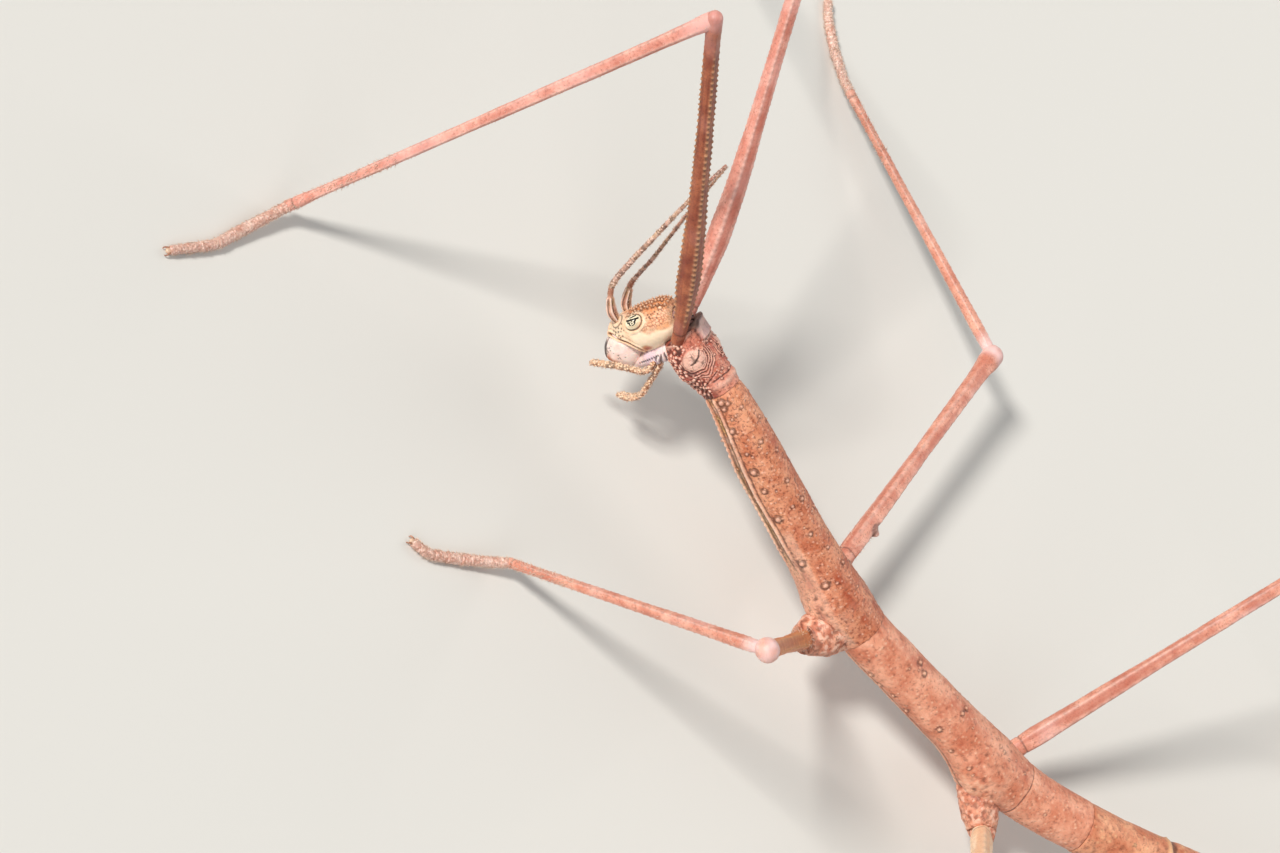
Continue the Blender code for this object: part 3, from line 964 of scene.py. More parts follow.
def joined(name: str, shells: Sequence[Shell], finish: Finish) -> bpy.types.Object:
    """Makes one piece of several shells, each on its own strip of the UV square.

    Args:
        name: The piece's name.
        shells: Its parts.
        finish: What they are made of.

    Returns:
        The piece.
    """
    parts = [shell.object(finish, tile, len(shells)) for tile, shell in enumerate(shells)]
    with bpy.context.temp_override(
        active_object=parts[0], object=parts[0], selected_objects=parts, selected_editable_objects=parts
    ):
        bpy.ops.object.join()
    parts[0].name = parts[0].data.name = name
    return parts[0]


@dataclass
class Bristles:
    """Short stiff hairs: solid three-sided needles that stand on a shell."""

    name: str
    thickness: float
    seed: int
    roots: list[tuple[Vector, Vector, float, Vector]] = field(default_factory=list)

    UV_PATCH = 0.003
    # Needles are made a few at a time, which is quicker.
    BATCH = 100

    def sow(
        self, shell: Shell, count: int, length: float, lean: float, strip: tuple[int, int],
        turns: tuple[float, float] = (0.0, 360.0), alongs: tuple[float, float] = (-99.0, 99.0),
    ) -> None:
        """Plants bristles on a shell.

        Args:
            shell: What they grow on.
            count: How many.
            length: Their usual length, mm.
            lean: How far they lean towards the shell's far end.
            strip: The shell's strip of the UV square, and how many there are.
            turns: Between which angles they grow.
            alongs: Between which distances they grow.
        """
        tile, tiles = strip
        chance = np.random.default_rng(self.seed + len(self.roots))
        rows = np.flatnonzero((shell.along >= alongs[0]) & (shell.along <= alongs[1]))
        rows = rows[(rows > 2) & (rows < len(shell.along) - 4)]
        for _ in range(count):
            row = int(rows[chance.integers(len(rows))])
            column = int(chance.uniform(*turns) % 360.0 / 360.0 * len(shell.turn)) % len(shell.turn)
            out = Vector(shell.outward[row, column])
            ahead = Vector(shell.place[row + 1, column] - shell.place[row - 1, column]).normalized()
            aim = out + ahead * (lean + chance.normal(0.0, 0.18)) + Vector(chance.normal(0.0, 0.12, 3))
            sheet_place = Vector(((row / (len(shell.along) - 1) + tile) / tiles, column / len(shell.turn)))
            tall = length * chance.uniform(0.6, 1.3)
            self.roots.append((Vector(shell.place[row, column]), aim.normalized(), tall, sheet_place))

    def object(self) -> bpy.types.Object:
        """Makes the needles.

        Returns:
            The coat piece.
        """
        whole = bmesh.new()
        whole.loops.layers.uv.new(BAKE_MAP)
        mesh = bpy.data.meshes.new(self.name)
        for first in range(0, len(self.roots), self.BATCH):
            batch = bmesh.new()
            sheet = batch.loops.layers.uv.new(BAKE_MAP)
            for root, aim, tall, sheet_place in self.roots[first : first + self.BATCH]:
                turn = aim.to_track_quat("Z", "Y").to_matrix().to_4x4()
                middle = root + aim * (tall * 0.5 - self.thickness)
                corners = bmesh.ops.create_cone(
                    batch, cap_ends=True, cap_tris=True, segments=3, radius1=self.thickness * MM,
                    radius2=self.thickness * 0.12 * MM, depth=tall * MM,
                    matrix=Matrix.Translation(middle * MM) @ turn,
                )["verts"]
                for number, corner in enumerate(corners):
                    for loop in corner.link_loops:
                        shift = Vector((number % 2, number // 2 % 2)) * self.UV_PATCH
                        loop[sheet].uv = sheet_place * (1.0 - self.UV_PATCH) + shift
            batch.to_mesh(mesh)
            batch.free()
            whole.from_mesh(mesh)
        whole.to_mesh(mesh)
        whole.free()
        stains = mesh.color_attributes.new(MARKS, "FLOAT_COLOR", "POINT")
        stains.data.foreach_set("color", np.zeros(len(mesh.vertices) * 4))
        mesh.shade_smooth()
        mesh.materials.append(BRISTLE.material())
        return add_object(self.name, mesh)


# --- the trunk ---


@dataclass(frozen=True)
class TrunkLine:
    """The bent axis of the trunk and its girth, as in the solids."""

    start: Triple = (30.504, 5.477, 8.76)
    roll: float = 4.6
    # (distance, angle round from forwards, angle above the floor).
    headings: Rows = (
        (0, 1, -1.5), (4, 1, -2.5), (5, -0.9, -8.3), (11, -0.9, -8.3), (14, 0.9, -8.3),
        (20.5, 0.9, -8.3), (23.5, -13.2, -4.1), (35.5, -13.2, -4.1), (39.5, -22.4, 4.9), (50, -27.8, 11.4),
        (64, -22, 4), (90, -16, -5),
    )
    # (distance, half width, height, depth).
    girths: Profile = Profile(
        (
            (-0.3, 1.36, 1.36, 1.2), (0.5, 1.42, 1.32, 1.4), (2.2, 1.38, 1.2, 1.68), (3.9, 1.13, 1.08, 1.3),
            (4.3, 1.2, 1.15, 1.3), (6.5, 1.38, 1.28, 1.52), (9, 1.48, 1.34, 1.9), (14, 1.5, 1.36, 1.94),
            (18, 1.6, 1.4, 1.86), (20.3, 1.84, 1.44, 1.64), (21.8, 1.72, 1.43, 1.46), (24.5, 1.7, 1.48, 1.44),
            (31, 1.72, 1.54, 1.5), (35.6, 1.95, 1.58, 1.64), (37.6, 1.84, 1.54, 1.52), (43, 1.72, 1.5, 1.46),
            (56, 1.76, 1.5, 1.52), (68, 1.7, 1.44, 1.46), (75, 1.56, 1.32, 1.3), (78.5, 1.42, 1.22, 0.8),
            (82, 1.26, 1.1, 0.66), (86, 1.1, 0.98, 0.6), (90.2, 0.72, 0.66, 0.46),
        ), 0.4,
    )
    # How far the plates sway off the axis, and which way.
    sways: Rows = (
        (1.4, 0.29), (3.4, 0.14), (4.6, 0.1), (7, 0.2), (10, 0.32), (15, 0.4), (19, 0.28), (23, 0),
    )
    sideways: Triple = (0.5686, 0.5099, -0.6456)
    step: float = 0.1

    def tailward(self, at: Array) -> Array:
        """The direction of the tail.

        Args:
            at: Distances.

        Returns:
            Unit vectors.
        """
        table = np.array(self.headings)
        swing, rise = (np.radians(np.interp(at, table[:, 0], column)) for column in table[:, 1:].T)
        swing = math.pi - swing
        return np.stack((np.cos(swing) * np.cos(rise), np.sin(swing) * np.cos(rise), np.sin(rise)), axis=-1)

    def rail(self) -> Rail:
        """The axis with its left and up directions.

        Returns:
            The rail, with a straight spare length before its start.
        """
        middles = (np.arange(int(self.headings[-1][0] / self.step) + 20) + 0.5) * self.step
        first = np.array(self.start)
        points = first + np.vstack((np.zeros(3), np.cumsum(self.tailward(middles) * self.step, axis=0)))
        distances = np.arange(len(points)) * self.step
        before = np.array([-2, -1])
        points = np.vstack((first + before[:, None] * self.tailward(np.zeros(1)), points))
        distances = np.concatenate((before, distances))
        ahead = -self.tailward(np.maximum(distances, 0))
        lefts = np.cross(UPRIGHT, ahead)
        lefts /= np.linalg.norm(lefts, axis=1, keepdims=True)
        ups = np.cross(ahead, lefts)
        lean = math.radians(self.roll)
        return Rail(
            distances, points, lefts * math.cos(lean) + ups * math.sin(lean),
            ups * math.cos(lean) - lefts * math.sin(lean),
        )

    def swayed(self) -> Rail:
        """The axis that the plates follow: it sways a little off the one that the legs are hung on.

        Returns:
            The rail.
        """
        rail = self.rail()
        shift = np.interp(rail.distances, *np.array(self.sways).T)
        return Rail(
            rail.distances, rail.points + shift[:, None] * np.array(self.sideways), rail.lefts, rail.ups
        )


@dataclass
class Thorax:
    """The three plates of the thorax, and the ridges and warts on them."""

    line: TrunkLine
    rail: Rail
    pro_end: float = 3.94
    meso_end: float = 21.82
    meta_end: float = 42.83
    # (distance, angle) of the small warts on the neck shield.
    pro_warts: Rows = (
        (1, 100), (1.7, 82), (2.1, 108), (2.6, 78), (3, 60), (2.5, 125), (1.4, 118),
        (1.9, 132), (2.9, 98), (0.8, 86),
    )
    # (distance, angle, radius, height) of the larger warts of the left side and the back.
    meso_warts: Rows = (
        (4.25, 14, 0.15, 0.15), (4.64, 11, 0.11, 0.11), (4.99, 59, 0.09, 0.09), (6.12, 3, 0.14, 0.15),
        (6.29, 94, 0.09, 0.09), (7.52, 60, 0.1, 0.1), (7.78, 14, 0.09, 0.09), (8.67, 89, 0.09, 0.09),
        (9.05, 8, 0.16, 0.18), (10.46, 9, 0.12, 0.13), (10.62, 72, 0.1, 0.11), (12.16, 85, 0.11, 0.12),
        (12.17, 53, 0.08, 0.07), (12.54, 3, 0.16, 0.17), (14.29, 58, 0.09, 0.09), (15.67, 80, 0.09, 0.09),
        (15.76, 4, 0.15, 0.16), (17.52, 30, 0.14, 0.15), (6.76, -49, 0.09, 0.09),
        (8.76, -35, 0.09, 0.08), (10.79, -27, 0.09, 0.08), (14.8, -35, 0.1, 0.09), (5.4, 20, 0.08, 0.07),
        (5.3, 34, 0.07, 0.06), (8.1, 24, 0.07, 0.06), (4.45, 30, 0.11, 0.1), (13.2, 110, 0.09, 0.1),
        (17.1, 96, 0.1, 0.1), (9.9, 118, 0.09, 0.09), (6.9, 122, 0.09, 0.09),
    )
    meta_warts: Rows = (
        (23.85, -16), (24.9, -20), (25.93, -9), (27.4, -14), (29.64, 20), (31.43, 4), (33, 14),
        (26.2, 84), (30.1, 80), (34.2, 88),
    )
    # Lines cut into each side of the neck shield: (distance, angle) along it, half width, depth, darkness.
    # The darkness of the two deep clefts is painted shadow.
    clefts: tuple[tuple[Rows, float, float, float], ...] = (
        (((1.7, -44), (2.35, -38), (2.85, -26), (3.05, -14)), 0.13, 0.26, 1),
        (((3.2, -44), (3.55, -34), (3.86, -30)), 0.13, 0.22, 1),
        (((2.55, 60), (2.75, 30), (2.95, 6)), 0.045, 0.06, 0.8),
        (((2.95, 4), (3.5, 2), (3.9, -8)), 0.04, 0.06, 0.85),
    )

    def plate(
        self, name: str, start: float, end: float, count: int, sides: int, rim: float, tuck: float
    ) -> Shell:
        """One plate of the trunk before it is carved.

        Args:
            name: The piece's name.
            start: The distance of its front.
            end: The distance of its rear.
            count: How many rings it has.
            sides: Points in each ring.
            rim: How far both rims are rounded.
            tuck: How much narrower its front is, so that it lies under the plate before it.

        Returns:
            The shell.
        """
        rings = capped(start + rim, end - rim, count, rim, rim)
        rings[:, 1] *= 1 - tuck * step_up(rings[:, 0], start + 0.35, start + 0.05)
        return Shell.wrap(name, self.rail, rings, sides, self.line.girths.girth)

    def build(self) -> None:
        """Builds the plates and dresses them."""
        show(self.prothorax().object(COLLAR), "body_cuticle", "prothorax")
        show(self.mesothorax().object(BARK), "body_cuticle", "mesothorax")
        show(self.metathorax().object(SMOOTH_BARK), "body_cuticle", "metathorax", "median_segment")

    def prothorax(self) -> Shell:
        """The neck shield: a flap turned up over each leg's root, a cracked boss in wrinkles, and granules.

        Returns:
            The shell.
        """
        shell = self.plate("prothorax_shield", -0.3, self.pro_end, 240, 320, 0.1, 0)
        along, turn = shell.grid()
        # Over each leg's root the front rim reaches forward as a small hood.
        ahead = np.gradient(shell.place, axis=0)
        ahead /= -np.maximum(np.linalg.norm(ahead, axis=-1, keepdims=True), 1e-9)
        hood = 0.38 * window(turn_from(turn, 121), -24, 26, 22) + 0.16 * shell.beside(60, 25)
        shell.place = shell.place + ahead * (hood * step_up(along, 0.55, -0.05))[..., None]
        shell.grain(0.16, 0.02, 11)
        warp = shell.soft(0.55, 3)
        self.front_flaps(shell)
        for side in Side:
            self.boss(shell, side, warp)
            self.rear_cleft(shell, side)
        bosses = np.minimum(*(shell.spot(1.22, side.turned(31)) for side in Side))
        low = step_up(shell.rise(), 0.5, 0.18) * step_up(bosses, 0.55, 0.8)
        shell.carve(0.26 * (shell.beside(-18, 30) + shell.beside(198, 30)) * window(along, 0.7, 2, 0.6))
        grain = shell.granules(0.2, 0.085, 0.95, low * window(along, 0.1, 3.4, 0.2), 31, 0.62)
        shell.carve(
            pale=0.8 * step_up(grain, 0.35, 0.9), warm=0.8 * low * step_up(grain, 0.5, 0.1),
            dark=0.8 * low * step_up(grain, 0.1, 0) * step_up(warp, -0.9, 0.2),
        )
        back = step_up(shell.rise(), 0.45, 0.75) * window(along, 0.5, 2.9, 0.2)
        grain = shell.granules(0.15, 0.03, 0.5, back, 37)
        shell.carve(warm=0.7 * back * shell.rough(0.5, 41, -0.35, 0.3), pale=0.6 * grain)
        for at, angle in self.pro_warts:
            shell.wart(at, angle, 0.075, 0.09, 0.7)
        # A smooth raised band crosses the back before the rear rim.
        top = step_up(shell.rise(), 0, 0.6)
        band = hump(along, 3.3, 0.22) * top
        shell.carve(0.09 * band, pale=0.55 * band * shell.soft(0.5, 43, -0.6, 0.3))
        shell.groove(np.abs(along - 2.95 - 0.1 * warp) + (1 - top), 0.05, 0.05, 0.7)
        shell.weather(0.018, 0.8, 0.5)
        return shell

    def front_flaps(self, shell: Shell) -> None:
        """Turns the front rim up over the roots of the front legs, hollows what lies before it and paints
        shade into that hollow; before the right flap it also paints a shadow.

        Args:
            shell: The shield.
        """
        along, _ = shell.grid()
        for side in Side:
            outer = shell.outer(side)
            line = np.interp(outer, (-30, 15, 50, 90), (-0.14, -0.16, -0.22, -0.26))
            there = window(outer, -28, 50, 14)
            height = 0.1 if side is Side.LEFT else 0.05
            # Before the rim the shield is hollowed, and painted shade darkens that hollow.
            before = step_up(along - line, 0.02, -0.14) * window(outer, -20, 92, 12)
            shell.carve(height * hump(along - line, 0.06, 0.13) * there - 0.22 * before, dark=0.8 * before)
            if side is Side.RIGHT:
                over = window(outer, 15, 97, 14)
                cover = over * step_up(along + 0.12 * shell.soft(0.35, 25), 0.56, 0.4)
                shadow = 0.75 * step_up(along, -0.02, -0.2) * over
                shell.carve(
                    (0.17 * window(along, -0.25, 0.46, 0.2) - 0.08 * hump(along, 0.95, 0.16)) * over,
                    clean=0.7 * cover, olive=0.95 * cover,
                    dark=np.maximum(0.35 * cover * shell.soft(0.4, 24, 0.2, 0.8), shadow),
                    pale=np.maximum(0.6 * hump(along, 0.66, 0.12), 0.45 * hump(along, 0.05, 0.16)) * over,
                )
            shell.carve(pale=0.35 * hump(along - line, 0.12, 0.07) * there)

    def boss(self, shell: Shell, side: Side, warp: Array) -> None:
        """A low smooth boss above one leg's root, with cracks across it and wrinkles bent round it.

        Args:
            shell: The shield.
            side: Which side.
            warp: Slow noise that bends the lines.
        """
        along, _ = shell.grid()
        reach = shell.spot(1.22, side.turned(31)) * (1 + 0.14 * warp)
        shell.carve(0.21 * np.exp(-((reach / 0.7) ** 4)), pale=0.62 * step_up(reach, 0.75, 0.55))
        rear = step_up(along, 0.55, 1.25) * step_up(shell.rise(), -0.3, 0.15)
        sector = window(reach, 0.68, 1.22, 0.12) * rear * (0.7 + 0.3 * shell.soft(0.5, 9))
        wave = ripple(reach + 0.1 * shell.soft(0.4, 5) + 0.05 * shell.soft(0.16, 6), 0.17)
        breaks = shell.soft(0.25, 8, -0.7, 0)
        shell.carve(
            0.042 * wave * sector, dark=0.95 * sector * step_up(wave, -0.35, -0.9) * breaks,
            pale=0.55 * sector * step_up(wave, 0.2, 0.9),
        )
        creases = 0.7 * shell.lines(0.2, 22, 0.05) * window(along, 0, 3.1, 0.2) * breaks
        cracks = 0.75 * step_up(reach, 0.66, 0.5) * shell.lines(0.33, 21, 0.06, (1, 1, 0.6))
        shell.carve(
            dark=np.maximum(creases, cracks),
            pale=0.35 * step_up(reach, 0.6, 0.45) * shell.soft(0.3, 7, -0.6, 0.2)
        )
        arcs = ((0.85, 52), (1.15, 43), (1.35, 30), (1.35, 20))
        shell.groove(shell.track(side, arcs), 0.05, 0.08, 1)
        lip = shell.track(side, tuple((at - 0.14, angle) for at, angle in arcs))
        shell.carve(0.05 * hump(lip, 0, 0.08), pale=0.8 * hump(lip, 0, 0.07))

    def rear_cleft(self, shell: Shell, side: Side) -> None:
        """Cuts the clefts between a side of the shield and the rear part under it, with painted shadow in the
        two deep ones, and folds that part.

        Args:
            shell: The shield.
            side: Which side.
        """
        # The deep clefts are painted dark as their shadow.
        for points, width, depth, dark in self.clefts:
            shell.groove(shell.track(side, points), width, depth, dark)
        along, outer = shell.grid()[0], shell.outer(side)
        folds = ripple(along * 0.6 + outer * 0.02 + 0.1 * shell.soft(0.4, 45), 0.3)
        patch = window(along, 2.9, 3.8, 0.12) * window(outer, -40, -2, 6)
        shell.carve(
            0.05 * folds * patch, pale=0.5 * patch * step_up(folds, 0.3, 0.9),
            dark=0.6 * patch * step_up(folds, -0.4, -0.9),
        )

    def mesothorax(self) -> Shell:
        """The long middle plate: two ridges along each side, and scattered warts.

        Returns:
            The shell.
        """
        shell = self.plate("mesothorax_plate", 3.8, self.meso_end, 505, 180, 0.07, 0.045)
        along, turn = shell.grid()
        shell.grain(0.15, 0.022, 51)
        body = window(along, 4.1, 21.4, 0.3)
        for side in Side:
            self.side_ridges(shell, side, body)
        rear_flank = 0.3 * window(along, 12.5, 21, 1.5) * window(turn_from(turn, 60), -28, 30, 16)
        # A redder band along the back, leaning to the right side: partly red-brown streaks and partly painted
        # shade on the side away from the light.
        back = 0.75 * shell.rough(0.6, 57, -0.15, 0.5, (0.45, 1, 1)) * shell.beside(108, 42)
        shell.carve(
            warm=np.maximum(back, rear_flank),
            dark=0.6 * shell.soft(0.45, 59, -0.1, 0.45) * shell.lines(0.26, 58, 0.045) * body,
            pale=0.35 * shell.granules(0.22, 0.028, 0.4, body, 61),
        )
        self.swell_coxae(shell, 19.3, 0.62)
        chance = np.random.default_rng(7)
        for at, angle, radius, height in self.meso_warts:
            shell.wart(at, angle, radius, height)
            if -60 < angle < 40:
                shell.wart(at + chance.uniform(-0.5, 0.5), 180 - angle, radius, height)
        shell.scatter(chance, 26, (4.4, 20.8), (-60, 240), (0.05, 0.075), 0.06, 0.7)
        shell.weather()
        return shell

    def side_ridges(self, shell: Shell, side: Side, body: Array) -> None:
        """Carves the two ridges that run along one side, and stains what lies round them.

        Args:
            shell: The plate.
            side: Which side.
            body: 1 between the plate's rims.
        """
        along, outer = shell.grid()[0], shell.outer(side)
        drift = np.interp(along, (4, 6, 8.5, 11, 15, 19), (-8, -8, -14, -20, -15, -6))
        away = outer - drift - 1.5 * soft_noise(along[..., None] * (1, 0, 0), 1.2, 63)
        fade = body * step_up(along, 17.2, 14.2)
        ridge = hump(away, 0, 4.2) * fade
        shell.carve(0.085 * ridge, pale=0.85 * ridge * shell.soft(0.9, 65, -0.75, 0.1))
        shell.groove(np.abs(away - 6.5) * 0.027 + (1 - fade), 0.04, 0.06, 0.6)
        hollow = window(away, -24, -7, 4) * fade
        shell.carve(
            -0.06 * hollow, olive=0.85 * hollow * shell.soft(0.6, 67, -0.7, 0.3),
            dark=0.45 * hollow * shell.soft(0.4, 68, 0.4, 0.75),
            pale=0.5 * hollow * shell.soft(0.4, 66, -0.2, 0.5),
        )
        lower = turn_from(outer, -45)
        teeth = 0.5 + 0.5 * ripple(along, 0.42, 3 * shell.soft(1.1, 69))
        rim = hump(lower, 0, 4.6) * fade
        shell.carve((0.06 + 0.05 * teeth) * rim, pale=(0.8 + 0.2 * teeth) * rim)
        under = hump(lower, -9, 7) * fade
        shell.carve(clean=0.8 * under, pale=0.5 * under)
        blotch = window(along, 15.5, 20.8, 0.6) * hump(outer, -3 + 8 * shell.soft(1.2, 70), 9)
        stain = window(along, 17.6, 20.6, 1) * hump(outer, 118, 16)
        shell.carve(
            pale=0.35 * window(along, 14, 21.2, 1) * window(outer, -50, 14, 10),
            warm=np.maximum(
                0.95 * blotch * shell.soft(0.35, 72, -0.5, 0.3), 0.85 * stain * shell.soft(0.5, 76, -0.7, 0.2)
            ),
            dark=0.65 * blotch * shell.soft(0.22, 74, 0.05, 0.4),
        )

    def swell_coxae(self, shell: Shell, centre: float, height: float) -> None:
        """Swells the sides where the legs are rooted, and wrinkles them.

        Args:
            shell: The plate.
            centre: The legs' distance.
            height: How far the left side swells. The far side swells less.
        """
        for side, share in zip(Side, (1, 0.25)):
            near = hump(shell.spot(centre, side.turned(-28)), 0, 1.9)
            fold = shell.soft(0.35, 71)
            shell.carve(
                (height * share + 0.05 * fold) * near, dark=0.45 * near * step_up(np.abs(fold), 0.1, 0),
                pale=0.3 * near * shell.soft(0.5, 75, -0.3, 0.4),
                warm=0.5 * near * shell.soft(0.5, 73, 0, 0.6),
            )

    def metathorax(self) -> Shell:
        """The rear plate with the median segment, which is fused to it.

        Returns:
            The shell.
        """
        shell = self.plate("metathorax_plate", 21.7, self.meta_end, 430, 160, 0.06, 0.012)
        along, _ = shell.grid()
        shell.grain(0.17, 0.022, 81)
        body = window(along, 22.2, 42.4, 0.3)
        shell.groove(np.abs(along - 37.35 - 0.05 * shell.soft(0.8, 87)), 0.05, 0.04, 0.2)
        for side in Side:
            outer = shell.outer(side)
            edge = hump(outer, -42, 5) * body * step_up(along, 37, 35)
            shell.carve(0.07 * edge, pale=0.4 * edge)
            shell.groove(np.abs(outer + 30) * 0.03 + (1 - body), 0.06, 0.04, 0.5)
        grain = shell.granules(0.24, 0.024, 0.32, body, 85)
        shell.carve(warm=0.45 * shell.rough(0.8, 83, 0.1, 0.7), pale=0.25 * grain)
        self.swell_coxae(shell, 34.6, 0.6)
        chance = np.random.default_rng(17)
        for at, angle in self.meta_warts:
            size = chance.uniform(0.09, 0.13)
            shell.wart(at, angle, size, size)
            shell.wart(at + chance.uniform(-0.6, 0.6), 180 - angle, size, size)
        shell.scatter(chance, 34, (22.5, 42), (-60, 240), (0.05, 0.08), 0.05, 0.5)
        shell.weather()
        return shell


@dataclass
class Abdomen:
    """The nine rings behind the median segment, the plate under their end, and the cerci."""

    line: TrunkLine
    rail: Rail
    start: float = 42.72
    ends: tuple[float, ...] = (49.25, 56.05, 63.05, 70.05, 76.45, 81.65, 85.05, 87.45, 90.05)
    # The lower plate: where it starts, its length, how far it hangs under the axis, and its half width and
    # thickness.
    operculum_start: float = 77.6
    operculum_length: float = 10.6
    operculum_drop: Profile = Profile(((0, 1.42), (0.4, 1.42), (4, 1.34), (8, 1.22), (10.6, 1.1)), 0.3)
    operculum: Profile = Profile(
        (
            (0, 0.62, 0.22, 0.22), (0.4, 0.86, 0.32, 0.32), (4, 0.88, 0.36, 0.36), (8, 0.62, 0.3, 0.3),
            (10.6, 0.26, 0.22, 0.22),
        ), 0.3,
    )
    # (distance past the cerci's root, out, up).
    cercus_path: Rows = ((-0.5, 0.75, 0), (0, 1, -0.06), (0.5, 1.14, -0.16), (1, 1.12, -0.26))

    def build(self) -> None:
        """Builds the pieces and dresses them."""
        show(self.rings().object(BELLY), "body_cuticle", *(f"abdomen_{number}" for number in range(2, 11)))
        show(self.lower_plate().object(BELLY), "body_cuticle", "operculum")
        for side in Side:
            show(self.cercus(side).object(BELLY), "body_cuticle", f"cercus_{side.label}")

    def rings(self) -> Shell:
        """The rings as one skin: each one's rear edge overlaps the front of the next.

        Returns:
            The shell.
        """
        last = self.ends[-1]
        rings = capped(self.start + 0.15, last - 0.3, 560, 0.15, 0.3)
        rings[:, 1] *= 1 - 0.03 * step_up(rings[:, 0], self.start + 0.4, self.start + 0.05)
        shell = Shell.wrap("abdomen_rings", self.rail, rings, 124, self.line.girths.girth)
        along, _ = shell.grid()
        shell.grain(0.24, 0.022, 91)
        body = window(along, self.start + 0.3, last - 0.5, 0.2)
        for end in self.ends[:-1]:
            behind = along - end
            step = step_up(behind, -0.05, 0.02) * step_up(behind, 0.9, 0.1)
            shell.carve(
                0.035 * hump(behind, -0.16, 0.14) - 0.085 * step, dark=0.5 * hump(behind, 0.03, 0.045),
                pale=0.35 * hump(behind, -0.25, 0.18), warm=0.35 * hump(behind, 0.7, 0.5),
            )
        for angle in (-40, 220):
            shell.carve(0.05 * shell.beside(angle, 5) * body, pale=0.3 * shell.beside(angle, 4) * body)
        shell.carve(
            olive=0.5 * shell.soft(1.9, 93, 0.25, 0.7) * shell.rough(0.4, 94, -0.3, 0.5),
            warm=0.45 * shell.rough(1.1, 95, 0.1, 0.7),
            pale=0.25 * shell.granules(0.3, 0.022, 0.25, body, 97),
        )
        shell.scatter(np.random.default_rng(23), 46, (43.5, 86), (-50, 230), (0.08, 0.11), 0.06, 0.5)
        shell.weather()
        return shell

    def lower_plate(self) -> Shell:
        """The boat-shaped plate under the end of the abdomen.

        Returns:
            The shell.
        """
        along = np.linspace(0, self.operculum_length, 150)
        drop = self.operculum_drop.read(along)[0]
        rail = Rail.through(
            [self.rail.spot(self.operculum_start + at, 0, -deep) for at, deep in zip(along, drop)]
        )
        rings = capped(along[4], along[-7], len(along) - 10, 0.2, 0.3)
        shell = Shell.wrap("operculum_plate", rail, rings, 60, self.operculum.girth)
        shell.grain(0.2, 0.014, 101)
        shell.carve(
            0.06 * shell.beside(-90, 9), warm=0.5 * shell.rough(0.9, 103, 0, 0.6),
            pale=0.4 * hump(shell.grid()[0], 10, 0.8),
        )
        return shell

    def cercus(self, side: Side) -> Shell:
        """One of the two small feelers beside the tail's tip.

        Args:
            side: Which side.

        Returns:
            The shell.
        """
        tip = self.ends[-1] - 0.5
        path = [self.rail.spot(tip + shift, side.value * out, up) for shift, out, up in self.cercus_path]
        rail = Rail.through(smooth_path(path, 20))
        taper = Profile(((0, 0.24), (2 * rail.length, 0.1)))
        rings = capped(0.1, rail.length - 0.12, 40, 0.1, 0.14)
        shell = Shell.wrap(f"cercus_spike_{side.label}", rail, rings, 26, taper.girth)
        shell.grain(0.12, 0.008, 107)
        return shell


# --- the head ---


